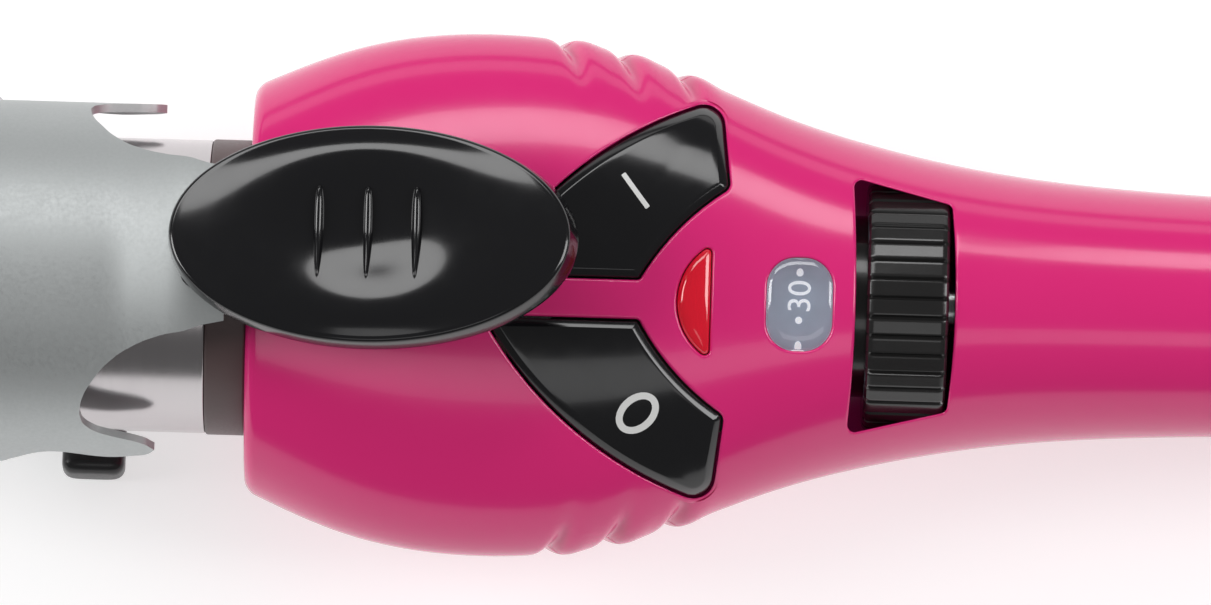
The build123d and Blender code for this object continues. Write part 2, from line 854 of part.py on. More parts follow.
def hollow_shell(body, cavity):
    """A handle shell with rounded ends, its hollow, its side grooves and the round holes at both ends."""
    with BuildPart() as made:
        add(body)
        front_rim = made.faces().sort_by(Axis.X)[0].edges().filter_by(GeomType.LINE, reverse=True)
        fillet(front_rim, front_edge_fillet)
        rear_rim = made.faces().sort_by(Axis.X)[-1].edges().filter_by(GeomType.LINE, reverse=True)
        fillet(rear_rim, rear_edge_fillet)
        add(cavity, mode=Mode.SUBTRACT)
        add(groove_cutters(), mode=Mode.SUBTRACT)
        with BuildSketch(across_handle(0)):
            Circle(neck_radius + slip)
        extrude(amount=front_wall, mode=Mode.SUBTRACT)
        with BuildSketch(across_handle(handle_length - rear_wall)):
            Circle(socket_body_radius + slip)
        extrude(amount=rear_wall, mode=Mode.SUBTRACT)
    return made.part


def dial_pocket():
    """The round room that the dial wheel turns in."""
    with BuildPart() as made:
        with BuildSketch(across_handle(dial_pocket_front, dial_axis_height)):
            Circle(dial_radius + dial_pocket_gap)
        extrude(amount=dial_pocket_length)
    return made.part


with BuildPart() as shell_upper:
    add(hollow_shell(body_upper, cavity_upper))
    add(columns(shell_screws, boss_radius, 0, reach, body_upper))
    add(columns(shell_screws, screw_shank_radius, 0, screw_reach, body_upper), mode=Mode.SUBTRACT)
    for side in (1, -1):
        add(panel_column(button_outline(side)), mode=Mode.SUBTRACT)
    for outline in (lamp_outline(), window_outline(), slot_outline()):
        add(panel_column(outline), mode=Mode.SUBTRACT)
    add(dial_pocket(), mode=Mode.SUBTRACT)
keep("handle_shell_upper", shell_upper.part)

board_places = [(x, 0) for x in board_screws]
board_bottom = board_top - board_thickness
with BuildPart() as board_posts:
    with BuildSketch(panel_plane(board_bottom)):
        with Locations(*board_places):
            Circle(board_post_radius)
    extrude(amount=-board_bottom)
    add(columns(board_places, board_post_radius, -reach, 0, body_lower))
    with BuildSketch(panel_plane(board_bottom)):
        with Locations(*board_places):
            Circle(board_hole_radius - screw_hole_gap)
    extrude(amount=-screw_reach, mode=Mode.SUBTRACT)

with BuildPart() as shell_lower:
    add(hollow_shell(body_lower, cavity_lower))
    add(columns(shell_screws, boss_radius, -reach, 0, body_lower))
    add(columns(shell_screws, screw_shank_radius + screw_hole_gap, -reach, 0, body_lower), mode=Mode.SUBTRACT)
    add(
        columns(shell_screws, screw_head_radius + screw_hole_gap, -reach, -screw_seat, body_lower),
        mode=Mode.SUBTRACT,
    )
    add(board_posts.part)
    add(dial_pocket(), mode=Mode.SUBTRACT)
keep("handle_shell_lower", shell_lower.part)

screw_places = zip(("front_far", "front_near", "middle", "rear"), shell_screws)
for place, position in screw_places:
    with BuildPart() as shell_screw:
        with BuildSketch(panel_plane(-screw_seat - screw_head_height)):
            with Locations(position):
                Circle(screw_head_radius)
        extrude(amount=screw_head_height)
        with BuildSketch(panel_plane(-screw_seat - screw_head_height)):
            with Locations(position):
                SlotCenterToCenter(screw_slot_length, screw_slot_width)
                SlotCenterToCenter(screw_slot_length, screw_slot_width, rotation=90)
        extrude(amount=screw_slot_depth, mode=Mode.SUBTRACT)
        with BuildSketch(panel_plane(-screw_seat)):
            with Locations(position):
                Circle(screw_shank_radius)
        extrude(amount=screw_seat + screw_reach)
    keep(f"shell_screw_{place}", shell_screw.part)

# ---------------------------------------------------------------- buttons, lamp and window

proud_body = half_body(-button_proud, True)
button_under = half_body(button_shell, True)
post_end = board_top + switch_height + plunger_reach

for name, side in (("button_on", 1), ("button_off", -1)):
    with BuildPart() as button:
        add(panel_column(button_outline(side, -button_gap)))
        add(proud_body, mode=Mode.INTERSECT)
        add(button_under, mode=Mode.SUBTRACT)
        with BuildSketch(panel_plane(post_end)):
            with Locations((button_post_x, side * button_post_side)):
                Circle(button_post_radius)
        extrude(until=Until.LAST, target=button.part)
    keep(name, button.part)

with BuildPart() as lamp:
    add(panel_column(lamp_outline(-slip)))
    add(half_body(-lens_sunk, True), mode=Mode.INTERSECT)
    add(half_body(lens_depth + lens_sunk, True), mode=Mode.SUBTRACT)
keep("lamp_lens", lamp.part)

with BuildPart() as window:
    add(panel_column(window_outline(-slip)))
    add(half_body(lens_sunk, True), mode=Mode.INTERSECT)
    add(half_body(lens_depth + lens_sunk, True), mode=Mode.SUBTRACT)
keep("window_lens", window.part)

# ---------------------------------------------------------------- dial

wheel_plane = across_handle(dial_start, dial_axis_height)
with BuildPart() as dial_wheel:
    with BuildSketch(wheel_plane):
        Circle(dial_radius)
        with PolarLocations(dial_radius, dial_ribs):
            Rectangle(2 * rib_depth, rib_share * 2 * pi * dial_radius / dial_ribs, mode=Mode.SUBTRACT)
    extrude(amount=dial_width)
    with BuildSketch(wheel_plane.offset(dial_web)):
        Circle(dial_radius - dial_web)
        Circle(hub_radius, mode=Mode.SUBTRACT)
    extrude(amount=dial_width, mode=Mode.SUBTRACT)
    with BuildSketch(wheel_plane):
        Circle(shaft_radius)
    extrude(amount=dial_width, mode=Mode.SUBTRACT)
keep("dial_wheel", dial_wheel.part)

drum_length = dial_start - drum_start
with BuildPart() as dial_drum:
    with BuildSketch(across_handle(drum_start, dial_axis_height)):
        Circle(drum_radius)
    extrude(amount=drum_length)
    with BuildSketch(across_handle(drum_start, dial_axis_height)):
        Circle(drum_radius - drum_wall)
    extrude(amount=drum_length - dial_web, mode=Mode.SUBTRACT)
    with BuildSketch(across_handle(drum_start, dial_axis_height)):
        Circle(shaft_radius)
    extrude(amount=drum_length, mode=Mode.SUBTRACT)
keep("dial_drum", dial_drum.part)

potentiometer_front = dial_start + dial_width + potentiometer_gap
with BuildPart() as dial_shaft:
    with BuildSketch(across_handle(dial_start - dial_web, dial_axis_height)):
        Circle(shaft_radius)
    extrude(amount=potentiometer_front - dial_start + dial_web + potentiometer_length / 2)
keep("dial_shaft", dial_shaft.part)

with BuildPart() as potentiometer:
    with BuildSketch(across_handle(potentiometer_front, dial_axis_height)):
        Circle(potentiometer_radius)
    extrude(amount=potentiometer_length)
    with BuildSketch(across_handle(potentiometer_front, dial_axis_height - potentiometer_radius)):
        Rectangle(*potentiometer_foot)
    extrude(amount=potentiometer_length / 2)
    with BuildSketch(across_handle(potentiometer_front, dial_axis_height)):
        Circle(shaft_radius + play)
    extrude(amount=potentiometer_length / 2, mode=Mode.SUBTRACT)
keep("potentiometer", potentiometer.part)

# ---------------------------------------------------------------- electronics

with BuildPart() as board:
    with BuildSketch(panel_plane(board_bottom)):
        with Locations((board_front + board_length / 2, 0)):
            RectangleRounded(board_length, board_width, board_corner)
        with Locations(*board_places):
            Circle(board_hole_radius, mode=Mode.SUBTRACT)
    extrude(amount=board_thickness)
keep("control_board", board.part)

for number, position in enumerate(board_places, 1):
    with BuildPart() as board_screw:
        with BuildSketch(panel_plane(board_top)):
            with Locations(position):
                Circle(board_post_radius)
        extrude(amount=board_screw_head)
        with BuildSketch(panel_plane(board_top)):
            with Locations(position):
                Circle(board_hole_radius - screw_hole_gap)
        extrude(amount=-screw_reach)
    keep(f"board_screw_{number}", board_screw.part)

for name, side in (("on", 1), ("off", -1)):
    place = (button_post_x, side * button_post_side)
    with BuildPart() as switch:
        with BuildSketch(panel_plane(board_top)):
            with Locations(place):
                RectangleRounded(switch_side, switch_side, switch_corner)
        extrude(amount=switch_height)
        with BuildSketch(panel_plane(board_top + switch_height)):
            with Locations(place):
                Circle(plunger_radius + slip)
        extrude(amount=-plunger_depth - button_travel, mode=Mode.SUBTRACT)
    keep(f"switch_{name}", switch.part)
    with BuildPart() as plunger:
        with BuildSketch(panel_plane(post_end)):
            with Locations(place):
                Circle(plunger_radius)
        extrude(amount=-plunger_reach - plunger_depth + slip)
    keep(f"plunger_{name}", plunger.part)

lamp_place = (lamp_chord_x - lamp_sagitta / 2, 0)
lamp_panel_height = min(height for x, _, height, _ in stations if x < window_x)
lamp_lens_under = lamp_panel_height - lens_depth - lens_sunk
with BuildPart() as led:
    with BuildSketch(panel_plane(board_top)):
        with Locations(lamp_place):
            Circle(lamp_led_radius)
    extrude(amount=lamp_lens_under - lamp_led_gap - board_top)
    led_rim = led.edges().group_by(Axis(barrel_axis.position, panel_normal))[-1]
    fillet(led_rim, lamp_led_round * lamp_led_radius)
keep("lamp_led", led.part)

with BuildPart() as capacitor:
    with BuildSketch(panel_plane(board_top)):
        with Locations(capacitor_place):
            RectangleRounded(*capacitor_size, capacitor_corner)
    extrude(amount=capacitor_height)
keep("capacitor", capacitor.part)

with BuildPart() as triac:
    with BuildSketch(panel_plane(board_top)):
        with Locations(triac_place):
            Rectangle(*triac_size)
    extrude(amount=triac_height)
keep("triac", triac.part)

with BuildPart() as terminal_block:
    with BuildSketch(across_handle(terminal_front)):
        RectangleRounded(terminal_width, terminal_height, terminal_corner)
    extrude(amount=terminal_length)
    with BuildSketch(across_handle(terminal_front)):
        with GridLocations(terminal_pitch, terminal_pitch, 2, 1):
            Circle(terminal_bore_radius)
    extrude(amount=terminal_length, mode=Mode.SUBTRACT)
keep("terminal_block", terminal_block.part)

# ---------------------------------------------------------------- cord swivel

socket_front = handle_length - rear_wall - socket_flange_width
with BuildPart() as socket:
    with BuildSketch(across_handle(socket_front)):
        Circle(socket_flange_radius)
    extrude(amount=socket_flange_width)
    with BuildSketch(across_handle(socket_front + socket_flange_width)):
        Circle(socket_body_radius)
    extrude(amount=rear_wall)
    with BuildSketch(across_handle(handle_length)):
        Circle(socket_collar_radius)
    extrude(amount=socket_collar_width)
    fillet(socket.edges().group_by(Axis.X)[-1], socket_fillet)
    with BuildSketch(across_handle(socket_front)):
        Circle(swivel_radius + swivel_play)
    extrude(amount=reach, mode=Mode.SUBTRACT)
keep("swivel_socket", socket.part)

nose_start = handle_length + socket_collar_width + swivel_gap
flange_end = socket_front - swivel_gap
ring_radius = swivel_radius + ring_thickness
sleeve_front = flange_end - swivel_flange_width - 2 * (ring_width + ring_gap)
with BuildPart() as sleeve:
    with BuildSketch(across_handle(sleeve_front)):
        Circle(swivel_radius)
    extrude(amount=nose_start - sleeve_front)
    with BuildSketch(across_handle(flange_end)):
        Circle(swivel_flange_radius)
    extrude(amount=-swivel_flange_width)
    with BuildSketch(across_handle(nose_start)):
        Circle(swivel_nose_radius)
    with BuildSketch(across_handle(nose_start + swivel_nose_length)):
        Circle(swivel_tip_radius)
    loft()
    fillet(sleeve.edges().group_by(Axis.X)[-1], swivel_tip_fillet)
    with BuildSketch(across_handle(sleeve_front)):
        Circle(cord_bore_radius)
    extrude(amount=reach, mode=Mode.SUBTRACT)
keep("swivel_sleeve", sleeve.part)

for number in (1, 2):
    start = sleeve_front + (number - 1) * (ring_width + ring_gap) + ring_gap / 2
    with BuildPart() as ring:
        with BuildSketch(across_handle(start)):
            Circle(ring_radius)
            Circle(swivel_radius, mode=Mode.SUBTRACT)
        extrude(amount=ring_width)
    keep(f"slip_ring_{number}", ring.part)
    with BuildPart() as brush:
        with BuildSketch(across_handle(start + ring_width / 2)):
            with Locations((-ring_radius - slip - brush_thickness / 2, 0)):
                Rectangle(brush_thickness, brush_height)
        extrude(amount=ring_width / 3, both=True)
    keep(f"brush_{number}", brush.part)
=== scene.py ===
"""Curling iron: gloss shells, sprung clamp, thumb lever, buttons, dial, stand and swivel, in studio light."""

import json
import logging
import math
from collections.abc import Callable
from dataclasses import dataclass
from enum import Enum

import bmesh
import bpy
import numpy as np
from mathutils import Matrix, Vector


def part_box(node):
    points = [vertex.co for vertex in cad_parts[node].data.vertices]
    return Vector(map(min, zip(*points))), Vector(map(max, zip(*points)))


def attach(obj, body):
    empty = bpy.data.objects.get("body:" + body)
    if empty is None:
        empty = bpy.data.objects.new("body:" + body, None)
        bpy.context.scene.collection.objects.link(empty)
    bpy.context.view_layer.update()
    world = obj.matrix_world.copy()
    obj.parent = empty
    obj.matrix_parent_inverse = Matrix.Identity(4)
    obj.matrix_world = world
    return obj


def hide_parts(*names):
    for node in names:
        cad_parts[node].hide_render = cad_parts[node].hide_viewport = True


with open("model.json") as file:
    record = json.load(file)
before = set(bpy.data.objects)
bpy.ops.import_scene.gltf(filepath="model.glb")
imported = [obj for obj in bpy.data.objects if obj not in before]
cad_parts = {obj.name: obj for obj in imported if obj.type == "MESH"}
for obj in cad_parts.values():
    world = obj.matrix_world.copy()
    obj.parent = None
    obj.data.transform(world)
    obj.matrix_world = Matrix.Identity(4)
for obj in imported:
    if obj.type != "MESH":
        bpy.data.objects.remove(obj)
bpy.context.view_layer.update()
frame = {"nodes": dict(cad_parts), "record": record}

MM = 0.001
Pair = tuple[float, float]
Triple = tuple[float, float, float]
log = logging.getLogger("curling_iron")


# ---------------------------------------------------------------- frame


@dataclass(frozen=True)
class Layout:
    """Where the tool's two units stand: the handle's face, the long axis and the panel's turn about it."""

    face_x: float
    axis_z: float
    panel_turn: float = 14.0

    @classmethod
    def from_frame(cls) -> "Layout":
        """Reads the face and the axis from the CAD boxes.

        Returns:
            The layout in millimetres.
        """
        shell_low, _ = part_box("handle_shell_upper")
        tube_low, tube_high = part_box("barrel_tube")
        return cls(shell_low[0] / MM, (tube_low[2] + tube_high[2]) / 2 / MM)

    def handle(self, x: np.ndarray, side: np.ndarray, height: np.ndarray) -> np.ndarray:
        """Places handle points: side and height are turned together about the long axis, then moved to it.

        Args:
            x: distance behind the handle's face.
            side: across the panel.
            height: along the panel's normal, from the axis.

        Returns:
            Points in metres, in the row's frame.
        """
        turn = math.radians(self.panel_turn)
        x, side, height = np.broadcast_arrays(x, side, height)
        y = side * math.cos(turn) - height * math.sin(turn)
        z = side * math.sin(turn) + height * math.cos(turn)
        return np.stack([x + self.face_x, y, z + self.axis_z], axis=-1) * MM

    def barrel(self, x: np.ndarray, y: np.ndarray, height: np.ndarray) -> np.ndarray:
        """Places barrel points, which stand upright: only the face and the axis are added.

        Args:
            x: distance behind the handle's face.
            y: across the barrel unit.
            height: above the axis.

        Returns:
            Points in metres, in the row's frame.
        """
        x, y, height = np.broadcast_arrays(x, y, height)
        return np.stack([x + self.face_x, y, height + self.axis_z], axis=-1) * MM


# ---------------------------------------------------------------- meshes


@dataclass
class Surface:
    """Points and faces of one closed form, ready to be joined with others."""

    points: np.ndarray
    faces: list[tuple[int, ...]]

    @staticmethod
    def join(parts: "list[Surface]") -> "Surface":
        """Stacks several surfaces, with each one's indices moved past the ones before it.

        Args:
            parts: the surfaces.

        Returns:
            One surface.
        """
        faces: list[tuple[int, ...]] = []
        start = 0
        for part in parts:
            faces += [tuple(index + start for index in face) for face in part.faces]
            start += len(part.points)
        return Surface(np.concatenate([part.points for part in parts]), faces)


def grid_faces(rows: int, columns: int, wrap_rows: bool = False, wrap_columns: bool = False) -> np.ndarray:
    """Quads of a grid of points stored row by row: each cell's corner, its neighbours and the one across.

    Args:
        rows: number of rows.
        columns: number of columns.
        wrap_rows: the last row meets the first.
        wrap_columns: the last column meets the first.

    Returns:
        An array of four indices a quad.
    """
    row = np.arange(rows if wrap_rows else rows - 1)[:, None]
    column = np.arange(columns if wrap_columns else columns - 1)[None, :]
    row_next, column_next = (row + 1) % rows, (column + 1) % columns
    corners = [row * columns + column, row * columns + column_next]
    corners += [row_next * columns + column_next, row_next * columns + column]
    return np.stack(np.broadcast_arrays(*corners), axis=-1).reshape(-1, 4)


def grid_surface(points: np.ndarray, wrap_rows: bool = False, wrap_columns: bool = False) -> Surface:
    """A surface over a grid of points.

    Args:
        points: array of rows by columns by three.
        wrap_rows: the last row meets the first.
        wrap_columns: the last column meets the first.

    Returns:
        The surface.
    """
    faces = grid_faces(points.shape[0], points.shape[1], wrap_rows, wrap_columns)
    return Surface(points.reshape(-1, 3), [tuple(face) for face in faces.tolist()])


def full_turn(steps: int) -> np.ndarray:
    """Equal angles round a full circle, without the one that closes it."""
    return np.linspace(0, 2 * math.pi, steps, endpoint=False)


def circle(radius: float, steps: int) -> np.ndarray:
    """Points of a circle about the origin, as steps by two."""
    return radius * np.stack([np.cos(full_turn(steps)), np.sin(full_turn(steps))], axis=-1)


def wall_faces(quads: np.ndarray, count: int) -> np.ndarray:
    """Faces of a closed wall.

    The outer layer, the inner one reversed, and a strip on every edge used only once.

    Args:
        quads: the faces of the outer layer.
        count: number of points in a layer.

    Returns:
        The indices of all faces, with the inner layer's points after the outer one's.
    """
    edges = np.concatenate([quads[:, [k, (k + 1) % 4]] for k in range(4)])
    edges = edges[edges[:, 0] != edges[:, 1]]
    rim = edges[~np.isin(edges[:, 0] * count + edges[:, 1], edges[:, 1] * count + edges[:, 0])]
    strip = np.stack([rim[:, 1], rim[:, 0], rim[:, 0] + count, rim[:, 1] + count], axis=-1)
    return np.concatenate([quads, quads[:, ::-1] + count, strip])


def thick_surface(outer: np.ndarray, inner: np.ndarray) -> Surface:
    """A closed wall between two grids of the same shape.

    Args:
        outer: grid of outer points.
        inner: grid of inner points.

    Returns:
        The closed surface.
    """
    rows, columns = outer.shape[:2]
    faces = wall_faces(grid_faces(rows, columns), rows * columns)
    points = np.concatenate([outer.reshape(-1, 3), inner.reshape(-1, 3)])
    return Surface(points, [tuple(face) for face in faces.tolist()])


def make_piece(
    name: str,
    surface: Surface,
    material: bpy.types.Material,
    body: str,
    slot: str,
    replaces: tuple[str, ...] = (),
    sharp_degrees: float = 40.0,
) -> bpy.types.Object:
    """slot: the record's material slot; not used.
        replaces: the CAD nodes that it stands for.
        sharp_degrees: edges that turn by more are shaded sharp.

    Returns:
        The object.
    """
    mesh = bpy.data.meshes.new(name)
    mesh.from_pydata(surface.points.tolist(), [], surface.faces)
    weld(mesh)
    shade(mesh, sharp_degrees)
    piece = bpy.data.objects.new(name, mesh)
    bpy.context.scene.collection.objects.link(piece)
    mesh.materials.append(material)
    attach(piece, body)
    if replaces:
        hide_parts(*replaces)
    log.info("%s: %d faces, rides on %s", name, len(mesh.polygons), body)
    return piece


def weld(mesh: bpy.types.Mesh, distance: float = 1e-6) -> None:
    """Merges points that coincide, drops empty faces and recalculates the normals to point outwards.

    Args:
        mesh: the mesh, changed in place.
        distance: the largest gap that is closed, in metres.
    """
    work = bmesh.new()
    work.from_mesh(mesh)
    bmesh.ops.remove_doubles(work, verts=work.verts, dist=distance)
    bmesh.ops.dissolve_degenerate(work, edges=work.edges, dist=distance / 10)
    bmesh.ops.recalc_face_normals(work, faces=work.faces)
    work.to_mesh(mesh)
    work.free()


def shade(mesh: bpy.types.Mesh, sharp_degrees: float) -> None:
    """Shades smooth, except across edges that turn by more than an angle.

    Args:
        mesh: the mesh, changed in place.
        sharp_degrees: the angle.
    """
    mesh.polygons.foreach_set("use_smooth", np.ones(len(mesh.polygons), dtype=bool))
    mesh.set_sharp_from_angle(angle=math.radians(sharp_degrees))
    mesh.update()


def cut_away(piece: bpy.types.Object, tool: Surface, sharp_degrees: float = 40.0) -> None:
    """Cuts a closed tool out of a piece and keeps the result as the piece's mesh.

    Args:
        piece: the piece that is cut.
        tool: the closed surface that is taken away.
        sharp_degrees: edges that turn by more are shaded sharp afterwards.
    """
    mesh = bpy.data.meshes.new("cutting_tool")
    mesh.from_pydata(tool.points.tolist(), [], tool.faces)
    weld(mesh)
    cutter = bpy.data.objects.new("cutting_tool", mesh)
    bpy.context.scene.collection.objects.link(cutter)
    modifier = piece.modifiers.new("openings", "BOOLEAN")
    modifier.operation = "DIFFERENCE"
    modifier.solver = "EXACT"
    modifier.object = cutter
    bpy.context.view_layer.update()
    graph = bpy.context.evaluated_depsgraph_get()
    result = bpy.data.meshes.new_from_object(piece.evaluated_get(graph))
    piece.modifiers.remove(modifier)
    materials = list(piece.data.materials)
    piece.data = result
    result.materials.clear()
    for material in materials:
        result.materials.append(material)
    shade(result, sharp_degrees)
    bpy.data.objects.remove(cutter)


# ---------------------------------------------------------------- curves in a plane


def arc_through(start: Pair, middle: Pair, end: Pair) -> np.ndarray:
    """Points along the circular arc through three points.

    The circle's centre is where two chords' bisectors meet.

    Args:
        start: first point.
        middle: a point between.
        end: last point.

    Returns:
        Points from start to end.
    """
    a, b, c = (np.array(p, dtype=float) for p in (start, middle, end))
    system = 2 * np.array([b - a, c - a])
    centre = np.linalg.solve(system, np.array([b @ b - a @ a, c @ c - a @ a]))
    radius = np.linalg.norm(a - centre)
    angles = np.unwrap([math.atan2(*(p - centre)[::-1]) for p in (a, b, c)])
    swept = np.linspace(angles[0], angles[2], 80)
    return centre + radius * np.stack([np.cos(swept), np.sin(swept)], axis=-1)


def straight(start: Pair, end: Pair) -> np.ndarray:
    """Points along a straight line.

    Args:
        start: first point.
        end: last point.

    Returns:
        Points from start to end.
    """
    share = np.linspace(0, 1, 80)[:, None]
    return np.array(start) * (1 - share) + np.array(end) * share


def trimmed(run: np.ndarray, head: float, tail: float) -> np.ndarray:
    """The same run with a length taken off each end, measured along it.

    Args:
        run: points along the run.
        head: length taken off the start.
        tail: length taken off the end.

    Returns:
        Points along what is left.
    """
    length = np.concatenate([[0], np.cumsum(np.linalg.norm(np.diff(run, axis=0), axis=1))])
    wanted = np.linspace(head, length[-1] - tail, len(run))
    return np.stack([np.interp(wanted, length, run[:, k]) for k in (0, 1)], axis=-1)


def crossing(first: np.ndarray, second: np.ndarray) -> tuple[float, float]:
    """Where a run's second half crosses the next one's first, by Cramer's rule for each pair of segments.

    Args:
        first: points of one run.
        second: points of the other.

    Returns:
        The place on each run, counted in its segments.
    """
    start, step = first[:-1, None], np.diff(first, axis=0)[:, None]
    other, stride = second[None, :-1], np.diff(second, axis=0)[None]
    gap = other - start
    area = step[..., 0] * stride[..., 1] - step[..., 1] * stride[..., 0]
    area = np.where(np.abs(area) < 1e-12, 1e-12, area)
    along = (gap[..., 0] * stride[..., 1] - gap[..., 1] * stride[..., 0]) / area
    across = (gap[..., 0] * step[..., 1] - gap[..., 1] * step[..., 0]) / area
    miss = np.maximum(np.maximum(-along, along - 1), np.maximum(-across, across - 1))
    miss[: len(first) // 2] += 1e6
    miss[:, len(second) // 2 :] += 1e6
    row, column = np.unravel_index(np.argmin(miss), miss.shape)
    return float(row + along[row, column]), float(column + across[row, column])


@dataclass
class Outline:
    """A closed, anticlockwise outline of runs, whose corners are rounded by conic arcs of given radii."""

    runs: list[np.ndarray]
    radii: list[float]
    side: float = 1.0

    def ring(self, distance: float) -> np.ndarray:
        """The outline moved outwards.

        Each run goes along its own normal, meets the next, and the corners are cut.

        Args:
            distance: how far outwards, inwards if negative.

        Returns:
            Points of the ring, the same number for every distance.
        """
        count = len(self.runs)
        moved = [self.shifted(run, distance) for run in self.runs]
        meets = [crossing(moved[index], moved[(index + 1) % count]) for index in range(count)]
        kept = []
        for index, run in enumerate(moved):
            place = np.linspace(meets[index - 1][1], meets[index][0], 90)
            inside = [np.interp(place, np.arange(len(run)), run[:, k]) for k in (0, 1)]
            kept.append(np.stack(inside, axis=-1))
        tangents = [(run[1] - run[0], run[-1] - run[-2]) for run in kept]
        cuts, weights = [], []
        for index, radius in enumerate(self.radii):
            before, after = tangents[index][1], tangents[(index + 1) % count][0]
            bend = math.atan2(before[0] * after[1] - before[1] * after[0], before @ after)
            cuts.append(max(radius + distance, 0.08) * math.tan(abs(bend) / 2))
            weights.append(math.cos(bend / 2))
        points = []
        for index, run in enumerate(kept):
            now = trimmed(run, cuts[index - 1], cuts[index])
            following = trimmed(kept[(index + 1) % count], cuts[index], 0)[0]
            share = np.linspace(0, 1, 12)[1:-1, None]
            pull = 2 * share * (1 - share) * weights[index]
            corner = (1 - share) ** 2 * now[-1] + pull * run[-1] + share**2 * following
            points += [now, corner / ((1 - share) ** 2 + pull + share**2)]
        return np.concatenate(points) * np.array([1.0, self.side])

    @staticmethod
    def shifted(run: np.ndarray, distance: float) -> np.ndarray:
        """A run moved along its right-hand normal and lengthened at both ends along its tangents.

        Args:
            run: points of the run.
            distance: how far it moves.

        Returns:
            Points of the moved run.
        """
        along = np.gradient(run, axis=0)
        along /= np.linalg.norm(along, axis=1, keepdims=True)
        moved = run + distance * np.stack([along[:, 1], -along[:, 0]], axis=-1)
        reach = 3 * abs(distance) + 0.2
        return np.concatenate([[moved[0] - reach * along[0]], moved, [moved[-1] + reach * along[-1]]])

    def rings(self, distances: list[float] | np.ndarray) -> np.ndarray:
        """Several rings of the outline.

        Args:
            distances: one outward distance a ring.

        Returns:
            Array of rings by points by two.
        """
        return np.stack([self.ring(float(distance)) for distance in distances])


def polygon(corners: list[Pair], radius: float) -> Outline:
    """An outline of straight runs between corners that share one radius.

    Args:
        corners: the corners, anticlockwise.
        radius: the corners' radius.

    Returns:
        The outline.
    """
    ends = corners[1:] + corners[:1]
    return Outline([straight(a, b) for a, b in zip(corners, ends)], [radius] * len(corners))


def capped(
    rings: np.ndarray,
    heights: np.ndarray,
    shares: np.ndarray,
    top: Callable[[np.ndarray, np.ndarray], np.ndarray],
) -> tuple[np.ndarray, np.ndarray]:
    """Carries rings on to their middle.

    Further rings shrink towards the last ring's centre, on a top surface.

    Args:
        rings: rings by points by two.
        heights: a height for every point of the rings.
        shares: shrinking factors that end at 0.
        top: the height for places across and along.

    Returns:
        All rings and all heights.
    """
    centre = rings[-1].mean(axis=0)
    shrunk = centre + np.asarray(shares)[:, None, None] * (rings[-1] - centre)
    return np.concatenate([rings, shrunk]), np.concatenate([heights, top(shrunk[..., 0], shrunk[..., 1])])


def natural_spline(knots: np.ndarray, values: np.ndarray, x: np.ndarray) -> np.ndarray:
    """A natural cubic spline: second derivatives solve the continuity system, then each span is its cubic.

    Args:
        knots: increasing places.
        values: the value at each place.
        x: where the spline is wanted.

    Returns:
        The spline's values at x.
    """
    h = np.diff(knots)
    count = len(knots)
    system = np.eye(count)
    right = np.zeros(count)
    inner = np.arange(1, count - 1)
    system[inner, inner - 1] = h[:-1]
    system[inner, inner] = 2 * (h[:-1] + h[1:])
    system[inner, inner + 1] = h[1:]
    slope = np.diff(values) / h
    right[inner] = 6 * np.diff(slope)
    second = np.linalg.solve(system, right)
    span = np.clip(np.searchsorted(knots, x) - 1, 0, count - 2)
    left, ahead, width = x - knots[span], knots[span + 1] - x, h[span]
    bend = (second[span] * ahead**3 + second[span + 1] * left**3) / (6 * width)
    start = (values[span] / width - second[span] * width / 6) * ahead
    end = (values[span + 1] / width - second[span + 1] * width / 6) * left
    return bend + start + end


def revolved(layout: Layout, profile: list[Pair], segments: int = 160, soften: float = 0.25) -> Surface:
    """A round piece about the long axis.

    Its closed profile, with softened corners, turned through a full circle.

    Args:
        layout: the tool's layout.
        profile: corners of the section, by distance behind the handle's face and radius.
        segments: number of steps round.
        soften: length that each corner's rounding takes off its two sides.

    Returns:
        The closed surface.
    """
    section = softened(np.array(profile, dtype=float), soften)
    angle = full_turn(segments)[:, None]
    y = section[None, :, 1] * np.cos(angle)
    z = section[None, :, 1] * np.sin(angle)
    return grid_surface(layout.barrel(section[None, :, 0] + 0 * angle, y, z), True, True)


def softened(corners: np.ndarray, soften: float) -> np.ndarray:
    """A closed section whose corners are cut by parabolas, no longer than a third of the sides beside them.

    Args:
        corners: corners of the section, in order.
        soften: length that a rounding takes off each side.

    Returns:
        Points of the rounded section.
    """
    before, after = np.roll(corners, 1, axis=0) - corners, np.roll(corners, -1, axis=0) - corners
    length_before = np.linalg.norm(before, axis=1, keepdims=True)
    length_after = np.linalg.norm(after, axis=1, keepdims=True)
    start = corners + before / length_before * np.minimum(soften, length_before / 3)
    end = corners + after / length_after * np.minimum(soften, length_after / 3)
    share = np.linspace(0, 1, 5)[None, :, None]
    pull = 2 * share * (1 - share)
    bent = (1 - share) ** 2 * start[:, None] + pull * corners[:, None] + share**2 * end[:, None]
    bent[corners[:, 1] < 1e-9] = corners[corners[:, 1] < 1e-9][:, None]
    return bent.reshape(-1, 2)


# ---------------------------------------------------------------- finishes


